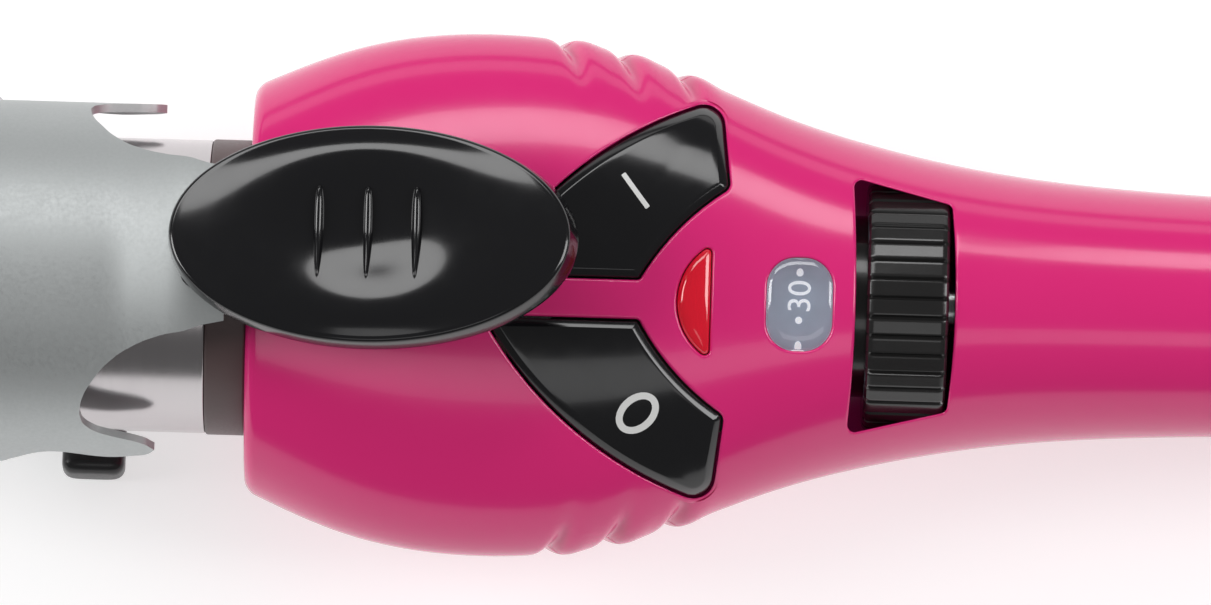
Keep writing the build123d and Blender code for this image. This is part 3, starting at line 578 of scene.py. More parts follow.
class NodeSheet:
    """A small helper that adds and links shader nodes in one material."""

    def __init__(self, name: str) -> None:
        """Makes the material with its shader and its Object coordinates.

        Args:
            name: the material's name.
        """
        self.material = bpy.data.materials.new(name)
        self.material.use_nodes = True
        self.tree = self.material.node_tree
        self.shader = self.tree.nodes["Principled BSDF"]
        self.coordinates = self.tree.nodes.new("ShaderNodeTexCoord").outputs["Object"]

    def node(self, kind: str, inputs: dict[str, object], **settings: object) -> bpy.types.Node:
        """Adds one node.

        Args:
            kind: the node's type.
            inputs: a value or a socket for each named input.
            settings: the node's own properties.

        Returns:
            The node.
        """
        made = self.tree.nodes.new(kind)
        for key, value in settings.items():
            setattr(made, key, value)
        for key, value in inputs.items():
            socket = made.inputs[key]
            if isinstance(value, bpy.types.NodeSocket):
                self.tree.links.new(value, socket)
            else:
                socket.default_value = value
        return made

    def noise(self, scale: float, detail: float = 2.0, stretch: Triple = (1, 1, 1)) -> bpy.types.NodeSocket:
        """A noise pattern on the piece's own coordinates, stretched by a mapping.

        Args:
            scale: cells a metre.
            detail: octaves.
            stretch: factor along each axis.

        Returns:
            The noise's factor socket.
        """
        mapped = self.node("ShaderNodeMapping", {"Vector": self.coordinates, "Scale": stretch})
        inputs = {"Vector": mapped.outputs[0], "Scale": scale, "Detail": detail}
        return self.node("ShaderNodeTexNoise", inputs).outputs["Fac"]

    def ranged(self, factor: bpy.types.NodeSocket, low: float, high: float) -> bpy.types.NodeSocket:
        """A factor from 0 to 1 moved to a range.

        Args:
            factor: socket of the factor.
            low: value at 0.
            high: value at 1.

        Returns:
            The value's socket.
        """
        return self.node("ShaderNodeMapRange", {"Value": factor, "To Min": low, "To Max": high}).outputs[0]

    def tinted(self, factor: bpy.types.NodeSocket, first: Triple, second: Triple) -> None:
        """Mixes two colours by a factor into the shader's base colour.

        Args:
            factor: socket of the factor.
            first: colour at 0.
            second: colour at 1.
        """
        ramp = self.node("ShaderNodeValToRGB", {"Fac": factor})
        ramp.color_ramp.elements[0].color = (*first, 1)
        ramp.color_ramp.elements[1].color = (*second, 1)
        self.tree.links.new(ramp.outputs["Color"], self.shader.inputs["Base Color"])

    def bump(self, factor: bpy.types.NodeSocket, depth_mm: float, strength: float = 1.0) -> None:
        """Raises the surface by a height pattern.

        Args:
            factor: socket of the height, from 0 to 1.
            depth_mm: height at 1.
            strength: how much of it shows.
        """
        inputs = {"Height": factor, "Distance": depth_mm * MM, "Strength": strength}
        made = self.node("ShaderNodeBump", inputs)
        self.tree.links.new(made.outputs["Normal"], self.shader.inputs["Normal"])

    def link(self, socket: bpy.types.NodeSocket, name: str) -> None:
        """Links a socket to one of the shader's inputs.

        Args:
            socket: where the value comes from.
            name: the shader's input.
        """
        self.tree.links.new(socket, self.shader.inputs[name])

    def set(self, **values: object) -> None:
        """Sets constants on the shader's own sockets, with underscores for spaces in their names.

        Args:
            values: one value a socket.
        """
        for key, value in values.items():
            self.shader.inputs[key.replace("_", " ")].default_value = value


@dataclass(frozen=True)
class MouldedGloss:
    """Polished moulded plastic.

    Faint flow shading, a fine waviness and a roughness that varies with handling.
    """

    name: str
    colour: Triple
    deep: Triple
    roughness: float = 0.16
    coat: float = 0.6
    wave_mm: float = 0.004

    def build(self) -> bpy.types.Material:
        """Builds the material.

        Returns:
            The material.
        """
        sheet = NodeSheet(self.name)
        sheet.tinted(sheet.noise(28, 3, (0.35, 1, 1)), self.deep, self.colour)
        worn = sheet.ranged(sheet.noise(420, 4), self.roughness - 0.03, self.roughness + 0.05)
        sheet.link(worn, "Roughness")
        sheet.bump(sheet.noise(160, 1), self.wave_mm, 0.35)
        sheet.set(IOR=1.5, Coat_Weight=self.coat, Coat_Roughness=0.05, Specular_IOR_Level=0.5)
        return sheet.material


@dataclass(frozen=True)
class MouldedMatte:
    """Textured moulded plastic: a fine spark-eroded grain in its height and roughness, and an optional
    painted glow.
    """

    name: str
    colour: Triple
    roughness: float = 0.5
    grain_mm: float = 0.02
    grain_scale: float = 3200.0
    glow: float = 0.0

    def build(self) -> bpy.types.Material:
        """Builds the material.

        Returns:
            The material.
        """
        sheet = NodeSheet(self.name)
        lighter = tuple(min(1.0, channel * 1.25 + 0.004) for channel in self.colour)
        sheet.tinted(sheet.noise(90, 4), self.colour, lighter)
        grain = sheet.noise(self.grain_scale, 3)
        sheet.link(sheet.ranged(grain, self.roughness - 0.08, self.roughness + 0.1), "Roughness")
        sheet.bump(grain, self.grain_mm, 0.5)
        sheet.set(IOR=1.48, Specular_IOR_Level=0.45)
        # Painted glow: an emission in the part's own colour that brightens a part which is no lamp.
        if self.glow:
            sheet.set(Emission_Color=(*self.colour, 1), Emission_Strength=self.glow)
        return sheet.material


class MetalGrain(Enum):
    """How a metal's surface was finished."""

    BLASTED = "blasted"
    POLISHED = "polished"
    TURNED = "turned"


@dataclass(frozen=True)
class Metal:
    """Metal with the fine marks of its finishing: blasted speckle, faint polishing lines or turning rings."""

    name: str
    colour: Triple
    grain: MetalGrain
    roughness: float
    depth_mm: float = 0.004

    def build(self) -> bpy.types.Material:
        """Builds the material.

        Returns:
            The material.
        """
        sheet = NodeSheet(self.name)
        stretch = {
            MetalGrain.BLASTED: (1.0, 1.0, 1.0),
            MetalGrain.POLISHED: (0.02, 1.0, 1.0),
            MetalGrain.TURNED: (1.0, 0.02, 0.02),
        }[self.grain]
        darker = tuple(channel * 0.9 for channel in self.colour)
        sheet.tinted(sheet.noise(60, 3, stretch), darker, self.colour)
        marks = sheet.noise(2600, 3, stretch)
        sheet.link(sheet.ranged(marks, self.roughness * 0.8, self.roughness * 1.25), "Roughness")
        sheet.bump(marks, self.depth_mm, 0.4)
        sheet.set(Metallic=1.0)
        return sheet.material


@dataclass(frozen=True)
class TintedLens:
    """Clear or dyed plastic that lets part of the light through."""

    name: str
    colour: Triple
    transmission: float
    roughness: float = 0.06
    glow: float = 0.0

    def build(self) -> bpy.types.Material:
        """Builds the material.

        Returns:
            The material.
        """
        sheet = NodeSheet(self.name)
        deeper = tuple(channel * 0.75 for channel in self.colour)
        sheet.tinted(sheet.noise(240, 2), deeper, self.colour)
        sheet.link(sheet.ranged(sheet.noise(500, 3), self.roughness * 0.7, self.roughness * 1.3), "Roughness")
        sheet.set(IOR=1.47, Transmission_Weight=self.transmission, Coat_Weight=0.8, Coat_Roughness=0.04)
        if self.glow:
            sheet.set(Emission_Color=(*self.colour, 1), Emission_Strength=self.glow)
        return sheet.material


FINISHES = {
    "pink_gloss": MouldedGloss("raspberry_gloss", (0.73, 0.022, 0.19), (0.68, 0.018, 0.17), 0.17, 0.2),
    "black_gloss": MouldedGloss(
        "piano_black", (0.008, 0.008, 0.009), (0.005, 0.005, 0.006), 0.12, 0.15, 0.003
    ),
    "black_plastic": MouldedMatte("grained_black", (0.018, 0.018, 0.019), 0.48),
    "foot_plastic": MouldedMatte("smooth_black", (0.014, 0.014, 0.015), 0.3, 0.01),
    "dial_plastic": MouldedGloss(
        "dial_black", (0.014, 0.013, 0.013), (0.008, 0.008, 0.008), 0.24, 0.3, 0.003
    ),
    # Painted glow: the drum is no lamp, and its emission makes it brighter than the studio light alone.
    "drum_plastic": MouldedMatte("drum_grey_blue", (0.36, 0.41, 0.50), 0.35, 0.005, glow=0.45),
    "collar_resin": MouldedMatte("heat_resin_taupe", (0.085, 0.055, 0.055), 0.4, 0.012),
    "red_lens": TintedLens("ruby_lens", (0.82, 0.006, 0.03), 0.25, 0.07, 0.12),
    "clear_lens": TintedLens("window_clear", (0.94, 0.96, 0.99), 0.97, 0.02),
    "polished_metal": Metal("polished_barrel", (0.56, 0.53, 0.54), MetalGrain.TURNED, 0.2, 0.002),
    "satin_metal": Metal("blasted_clamp", (0.5, 0.52, 0.52), MetalGrain.BLASTED, 0.55, 0.008),
    "plated_steel": Metal("plated_steel", (0.62, 0.62, 0.63), MetalGrain.POLISHED, 0.22),
    "bare_aluminium": Metal("drawn_aluminium", (0.72, 0.72, 0.73), MetalGrain.POLISHED, 0.35),
    "ring_brass": Metal("turned_brass", (0.76, 0.56, 0.25), MetalGrain.TURNED, 0.25),
    "board_laminate": MouldedMatte("board_green", (0.02, 0.12, 0.05), 0.35, 0.01),
    "heater_ceramic": MouldedMatte("heater_ceramic", (0.72, 0.70, 0.64), 0.7, 0.03),
    "sleeve_rubber": MouldedMatte("woven_sleeve", (0.55, 0.52, 0.44), 0.7, 0.06, 1600),
    "sensor_glass": TintedLens("sensor_bead", (0.75, 0.4, 0.2), 0.5),
    "switch_plunger": MouldedMatte("plunger_ivory", (0.55, 0.54, 0.5), 0.4),
    "capacitor_resin": MouldedGloss("dipped_ochre", (0.5, 0.28, 0.04), (0.42, 0.22, 0.03)),
    "terminal_nylon": MouldedMatte("terminal_nylon", (0.72, 0.70, 0.64), 0.5),
    "mark_white": MouldedMatte("printed_white", (0.62, 0.62, 0.61), 0.45, 0.004),
    # Painted glow: the digits are print, not a lamp, and their emission makes them brighter than the studio
    # light alone.
    "digit_white": MouldedMatte("printed_digits_painted_glow", (0.9, 0.92, 0.95), 0.4, 0.004, glow=0.8),
}
MATERIALS: dict[str, bpy.types.Material] = {name: finish.build() for name, finish in FINISHES.items()}


# ---------------------------------------------------------------- handle


@dataclass
class HandleBody:
    """The handle's outer form: elliptical halves above and below the seam, whose sizes run as splines."""

    length: float = 160.0
    stations: tuple[tuple[float, float, float, float], ...] = (
        (0.0, 21.9, 16.6, 17.6),
        (10.0, 26.0, 16.5, 20.2),
        (24.0, 28.26, 16.0, 22.1),
        (36.0, 27.4, 15.3, 21.3),
        (46.0, 24.7, 15.0, 19.4),
        (57.0, 20.4, 15.3, 17.0),
        (68.0, 17.2, 15.7, 15.6),
        (80.0, 14.9, 14.8, 14.4),
        (96.0, 13.4, 13.4, 13.4),
        (125.0, 12.9, 12.9, 12.9),
        (148.0, 13.2, 13.2, 13.2),
        (160.0, 12.7, 12.7, 12.7),
    )

    def sizes(self, x: np.ndarray) -> tuple[np.ndarray, np.ndarray, np.ndarray]:
        """Half width, panel height and belly depth at distances behind the face.

        Args:
            x: the distances.

        Returns:
            The three sizes.
        """
        table = np.array(self.stations)
        return tuple(natural_spline(table[:, 0], table[:, column], x) for column in (1, 2, 3))

    def top(self, x: np.ndarray, side: np.ndarray, lift: float | np.ndarray = 0.0) -> np.ndarray:
        """Height of the upper surface: the height of the ellipse, grown by the lift, at that side.

        Args:
            x: distance behind the face.
            side: across the panel.
            lift: how far the ellipse is grown.

        Returns:
            Height above the axis, along the panel's normal.
        """
        half, high, _ = self.sizes(np.asarray(x, dtype=float))
        return (high + lift) * np.sqrt(np.clip(1 - (side / (half + lift)) ** 2, 0, None))


@dataclass
class HandleShells:
    """The two gloss shells: softened seam and rims, leaning side grooves, a rounded lip at each opening."""

    layout: Layout
    body: HandleBody
    wall: float = 2.0
    end_wall: float = 2.3
    rim: float = 1.2
    seam: float = 0.22
    neck_radius: float = 12.7
    rear_hole: float = 9.1
    groove_places: tuple[float, ...] = (32.9, 39.2, 45.7)
    groove_depth: float = 0.95
    groove_width: float = 0.95
    groove_lean: float = 17.0
    groove_reach: float = 6.6
    swell_offset: float = 2.4
    swell_width: float = 1.5
    swell_share: float = 0.32
    lip: float = 0.32
    screw_places: tuple[Pair, ...] = ((14.0, 19.0), (14.0, -19.0), (94.0, 0.0), (134.0, 0.0))
    screw_hole: float = 2.65
    screw_seat: float = 8.0

    def press(self, x: np.ndarray, height: np.ndarray) -> np.ndarray:
        """How far the surface is drawn in: quarter-round rims and seam, and three leaning grooves a side.

        Args:
            x: distance behind the face.
            height: signed height above the seam.

        Returns:
            The inset.
        """
        front = np.clip(self.rim - x, 0, self.rim)
        rear = np.clip(self.rim - (self.body.length - x), 0, self.rim)
        seam = np.clip(self.seam - np.abs(height), 0, self.seam)
        inset = self.rim - np.sqrt(self.rim**2 - front**2)
        inset = inset + self.rim - np.sqrt(self.rim**2 - rear**2)
        inset = inset + self.seam - np.sqrt(self.seam**2 - seam**2)
        fade = np.exp(-((np.abs(height) / self.groove_reach) ** 4))
        for place in self.groove_places:
            distance = x - place - math.tan(math.radians(self.groove_lean)) * height
            dip = np.exp(-((distance / self.groove_width) ** 2))
            swell = np.exp(-(((distance - self.swell_offset) / self.swell_width) ** 2))
            inset = inset + fade * (self.groove_depth * dip - self.swell_share * self.groove_depth * swell)
        return inset

    def skin(
        self, x: np.ndarray, angle: np.ndarray, upper: bool, extra: float = 0.0, plain: bool = False
    ) -> tuple[np.ndarray, np.ndarray]:
        """Side and height of the skin.

        The ellipse, moved in along its own normal by the press and an extra inset.

        Args:
            x: distance behind the face.
            angle: from 0 at the far seam to half a turn at the near one.
            upper: the shell above the seam.
            extra: further inset.
            plain: leave out rims, seam and grooves.

        Returns:
            Side and height.
        """
        half, high, low = self.body.sizes(x)
        high = high if upper else low
        sign = 1.0 if upper else -1.0
        side, height = half * np.cos(angle), sign * high * np.sin(angle)
        inset = extra if plain else extra + self.press(x, height)
        normal_side, normal_height = np.cos(angle) / half, sign * np.sin(angle) / high
        size = np.hypot(normal_side, normal_height)
        return side - inset * normal_side / size, height - inset * normal_height / size

    def shell(self, upper: bool) -> Surface:
        """One half shell as a closed wall.

        End disc, rounded rim, body, rounded rim and end disc, outside and inside.

        Args:
            upper: the shell above the seam.

        Returns:
            The closed surface.
        """
        rim = self.rim * (1 - np.cos(np.linspace(0, math.pi / 2, 9)))
        zones = ((self.rim, 28, 42), (28, 51, 92), (51, 80, 42), (80, self.body.length - self.rim, 64))
        spans = [np.linspace(*zone)[:-1] for zone in zones]
        x = np.concatenate([rim[:-1], *spans, self.body.length - rim[::-1]])[:, None]
        seam = np.array([0, 0.0012, 0.004, 0.008, 0.014])
        middle = np.linspace(0.022, math.pi - 0.022, 112)
        angle = np.concatenate([seam, middle, math.pi - seam[::-1]])[None, :]
        side, height = self.skin(x, angle, upper)
        last = self.body.length - self.end_wall
        inner_x = self.end_wall + x * (last - self.end_wall) / self.body.length
        inner_side, inner_height = self.skin(inner_x, angle, upper, self.wall, True)
        discs = []
        for radius, index, outer_x, wall_x in (
            (self.neck_radius, 0, 0.0, self.end_wall),
            (self.rear_hole, -1, self.body.length, last),
        ):
            share = np.linspace(0, 1, 8)[:-1, None]
            sign = 1.0 if upper else -1.0
            hole_side, hole_height = radius * np.cos(angle), sign * radius * np.sin(angle)
            flat = [
                hole_side * (1 - share) + side[index] * share,
                hole_height * (1 - share) + height[index] * share,
                hole_side * (1 - share) + inner_side[index] * share,
                hole_height * (1 - share) + inner_height[index] * share,
            ]
            placed = (self.layout.handle(outer_x, *flat[:2]), self.layout.handle(wall_x, *flat[2:]))
            discs.append(placed if index == 0 else tuple(grid[::-1] for grid in placed))
        outer = np.concatenate([discs[0][0], self.layout.handle(x, side, height), discs[1][0]])
        inner = self.layout.handle(inner_x, inner_side, inner_height)
        inner = np.concatenate([discs[0][1], inner, discs[1][1]])
        return thick_surface(outer, inner)

    def column(self, outline: np.ndarray, low: float, high: float) -> Surface:
        """A closed column on an outline, along the panel's normal.

        Args:
            outline: points across the panel.
            low: height of its lower end.
            high: height of its upper end.

        Returns:
            The closed surface.
        """
        centre = outline.mean(axis=0)
        flat = np.stack([outline * 0 + centre, outline, outline, outline * 0 + centre])
        height = np.array([low, low, high, high])[:, None]
        return grid_surface(self.layout.handle(flat[..., 0], flat[..., 1], height), False, True)

    def lip_ring(self, outline: Outline) -> Surface:
        """A quarter-round lip round an opening and down its wall, a hair under the skin at its outer edge.

        Args:
            outline: the opening's outline.

        Returns:
            The closed ring.
        """
        angle = np.linspace(0, math.pi / 2, 7)
        buried = self.lip + 0.22
        distance = np.concatenate([[0.0], self.lip * (1 - np.cos(angle)), [buried, buried, 0.2]])
        drop = np.concatenate([[2.4], self.lip * (1 - np.sin(angle)), [0.006, 1.2, 2.4]])
        rings = outline.rings(distance)
        height = self.body.top(rings[..., 0], rings[..., 1]) - drop[:, None]
        return grid_surface(self.layout.handle(rings[..., 0], rings[..., 1], height), True, True)

    def build(self, openings: list[Outline]) -> None:
        """Builds both shells, cuts the openings and the screw holes, and lays the lips.

        Args:
            openings: outlines of the openings in the panel.
        """
        pink, slot = MATERIALS["pink_gloss"], "pink_gloss"
        upper = make_piece("gloss_shell_upper", self.shell(True), pink, "tool", slot, ("handle_shell_upper",))
        cut = [self.column(opening.ring(self.lip + 0.1), -2.0, 24.0) for opening in openings]
        cut_away(upper, Surface.join(cut))
        lips = Surface.join([self.lip_ring(outline) for outline in openings])
        make_piece("panel_opening_lips", lips, pink, "tool", slot)
        half = self.shell(False)
        lower = make_piece("gloss_shell_lower", half, pink, "tool", slot, ("handle_shell_lower",))
        hole = circle(self.screw_hole, 48)
        holes = [self.column(hole + np.array(place), -30.0, -self.screw_seat) for place in self.screw_places]
        cut_away(lower, Surface.join(holes))


# ---------------------------------------------------------------- panel controls


@dataclass
class PanelControls:
    """The two push buttons with their printed marks, the crescent lamp and the dial's window."""

    layout: Layout
    body: HandleBody
    strip_half: float = 2.1
    gap: float = 0.25
    proud: float = 0.3
    bevel: float = 0.85
    bevel_drop: float = 0.5
    wall_depth: float = 1.5
    post_x: float = 41.5
    post_side: float = 11.0
    post_radius: float = 2.4
    post_end: float = 8.2
    button_radii: tuple[float, ...] = (1.2, 2.4, 0.25, 0.6)
    bar_ends: tuple[Pair, Pair] = ((39.98, 13.48), (42.74, 9.89))
    bar_half: float = 0.27
    bar_corner: float = 0.12
    ring_centre: Pair = (42.27, -12.17)
    ring_radii: Pair = (2.58, 1.92)
    ring_stroke: float = 0.75
    ring_lean: float = 43.0
    lamp_chord: float = 49.8
    lamp_sagitta: float = 3.7
    lamp_half: float = 6.2
    window_x: float = 59.3
    window_width: float = 7.1
    window_length: float = 10.0
    window_corner: float = 3.1
    slot_front: float = 64.8
    slot_rear: float = 75.5
    slot_bulge: float = 0.5
    slot_front_half: float = 13.8
    slot_rear_half: float = 11.1

    def button_outline(self, side: float) -> Outline:
        """The opening of one button: two straights and two arcs.

        Args:
            side: +1 for the far button, -1 for the near one.

        Returns:
            The outline.
        """
        inner_rear, rear_inner = (42.1, self.strip_half), (51.6, 12.2)
        rear_outer, front = (50.5, 22.0), (25.2, self.strip_half)
        runs = [
            arc_through(inner_rear, (46.0, 7.5), rear_inner),
            straight(rear_inner, rear_outer),
            arc_through(rear_outer, (36.0, 14.6), front),
            straight(front, inner_rear),
        ]
        return Outline(runs, list(self.button_radii), side)

    def lamp_outline(self) -> Outline:
        """The crescent: an arc closed by its chord.

        Returns:
            The outline.
        """
        far, near = (self.lamp_chord, self.lamp_half), (self.lamp_chord, -self.lamp_half)
        arc = arc_through(far, (self.lamp_chord - self.lamp_sagitta, 0.0), near)
        return Outline([arc, straight(near, far)], [0.6, 0.6])

    def window_outline(self) -> Outline:
        """The window: a rectangle with large corners.

        Returns:
            The outline.
        """
        front, rear = self.window_x - self.window_width / 2, self.window_x + self.window_width / 2
        half = self.window_length / 2
        return polygon([(front, -half), (rear, -half), (rear, half), (front, half)], self.window_corner)

    def slot_outline(self) -> Outline:
        """The dial's opening: slanted ends between two bowed edges.

        Returns:
            The outline.
        """
        corners = [
            (self.slot_front, -self.slot_front_half),
            (self.slot_rear, -self.slot_rear_half),
            (self.slot_rear, self.slot_rear_half),
            (self.slot_front, self.slot_front_half),
        ]
        runs = [
            straight(corners[0], corners[1]),
            arc_through(corners[1], (self.slot_rear + self.slot_bulge, 0.0), corners[2]),
            straight(corners[2], corners[3]),
            arc_through(corners[3], (self.slot_front + self.slot_bulge, 0.0), corners[0]),
        ]
        return Outline(runs, [0.8] * 4)

    def openings(self) -> list[Outline]:
        """All openings in the panel."""
        buttons = [self.button_outline(side) for side in (1.0, -1.0)]
        return [*buttons, self.lamp_outline(), self.window_outline(), self.slot_outline()]

    def cap(self, outline: Outline, steps: list[Pair], depth: float, crown: float = 0.0) -> Surface:
        """A closed cap on an outline.

        A wall, an edge profile carried round it, and a top that follows the panel.

        Args:
            outline: the cap's outline.
            steps: edge profile, as distance from the outline and lift above the panel.
            depth: how far the wall reaches below the profile's first step.
            crown: further lift in the middle of the top.

        Returns:
            The closed surface.
        """
        distance, lift = np.array(steps).T
        rings = outline.rings(np.concatenate([[distance[0]], distance]))
        lifts = np.concatenate([[lift[0]], lift])[:, None]
        heights = self.body.top(rings[..., 0], rings[..., 1], lifts)
        heights[0] -= depth
        shares = np.array([0.93, 0.8, 0.65, 0.5, 0.35, 0.2, 0.08, 0.0])
        rings, heights = capped(rings, heights, shares, lambda x, s: self.body.top(x, s, lift[-1]))
        heights[-len(shares) :] += crown * (1 - shares[:, None] ** 2)
        centre = rings[0].mean(axis=0)
        under = centre + shares[::-1, None, None] * (rings[0] - centre)
        sunk = self.body.top(under[..., 0], under[..., 1], lift[0]) - depth
        rings, heights = np.concatenate([under, rings]), np.concatenate([sunk, heights])
        return grid_surface(self.layout.handle(rings[..., 0], rings[..., 1], heights), False, True)

    def button(self, side: float) -> Surface:
        """One button.

        A soft lower edge, a broad bevel, a crease that turns onto the top, and the post beneath.

        Args:
            side: +1 for the far button, -1 for the near one.

        Returns:
            The key and its post.
        """
        edge = -self.gap
        low, high = self.proud - self.bevel_drop, self.proud
        crease = edge - self.bevel
        steps = [(edge, low - 0.14), (edge - 0.02, low - 0.06), (edge - 0.08, low)]
        steps += [(crease + 0.1, high - 0.05), (crease, high - 0.012), (crease - 0.12, high)]
        key = self.cap(self.button_outline(side), steps, self.wall_depth)
        place = circle(self.post_radius, 40) + np.array([self.post_x, side * self.post_side])
        flat = np.stack([place * 0 + place.mean(axis=0), place, place, place * 0 + place.mean(axis=0)])
        height = self.body.top(flat[..., 0], flat[..., 1]) - self.wall_depth / 2
        height[:2] = self.post_end
        post = grid_surface(self.layout.handle(flat[..., 0], flat[..., 1], height), False, True)
        return Surface.join([key, post])

    def bar_mark(self) -> Surface:
        """The straight mark: a thin printed pad on a slanted bar.

        Returns:
            The closed surface.
        """
        first, last = (np.array(end) for end in self.bar_ends)
        run = last - first
        across = np.array([-run[1], run[0]]) / np.linalg.norm(run) * self.bar_half
        corners = [tuple(first - across), tuple(last - across), tuple(last + across), tuple(first + across)]
        steps = [(0.0, self.proud + 0.015), (-0.02, self.proud + 0.025)]
        return self.cap(polygon(corners, self.bar_corner), steps, 0.1)

    def ring_mark(self) -> Surface:
        """The round mark: an elliptic band, thin and square in section, carried round the ellipse.

        Returns:
            The closed surface.
        """
        angle = full_turn(96)[None, :]
        lean = math.radians(self.ring_lean)
        inner = self.ring_stroke * np.array([0.0, 0.0, 1.0, 1.0])[:, None]
        lift = self.proud + np.array([-0.08, 0.022, 0.022, -0.08])[:, None]
        along = (self.ring_radii[0] - inner) * np.cos(angle)
        across = (self.ring_radii[1] - inner) * np.sin(angle)
        x = self.ring_centre[0] + along * math.cos(lean) - across * math.sin(lean)
        side = self.ring_centre[1] + along * math.sin(lean) + across * math.cos(lean)
        return grid_surface(self.layout.handle(x, side, self.body.top(x, side, lift)), True, True)

    def build(self) -> None:
        """Builds the buttons, their marks, the lamp's lens and the window's glass."""
        gloss, white = MATERIALS["black_gloss"], MATERIALS["mark_white"]
        far, near = self.button(1.0), self.button(-1.0)
        make_piece("push_button_on", far, gloss, "on_button", "black_gloss", ("button_on",), 30)
        make_piece("push_button_off", near, gloss, "off_button", "black_gloss", ("button_off",), 30)
        make_piece("button_mark_bar", self.bar_mark(), white, "on_button", "switch_plunger")
        make_piece("button_mark_ring", self.ring_mark(), white, "off_button", "switch_plunger")
        dome = [(-0.1, -0.2), (-0.12, -0.05), (-0.2, 0.08), (-0.4, 0.24)]
        dome += [(-0.7, 0.36), (-1.1, 0.44), (-1.35, 0.46)]
        lamp = self.cap(self.lamp_outline(), dome, 1.2, 0.05)
        make_piece("crescent_lamp", lamp, MATERIALS["red_lens"], "tool", "red_lens", ("lamp_lens",), 60)
        flush = [(-0.1, -0.45), (-0.12, -0.32), (-0.3, -0.22), (-0.6, -0.12), (-1.0, -0.05), (-1.4, -0.02)]
        glass = self.cap(self.window_outline(), flush, 0.9)
        make_piece("dial_window", glass, MATERIALS["clear_lens"], "tool", "clear_lens", ("window_lens",), 50)


# ---------------------------------------------------------------- dial


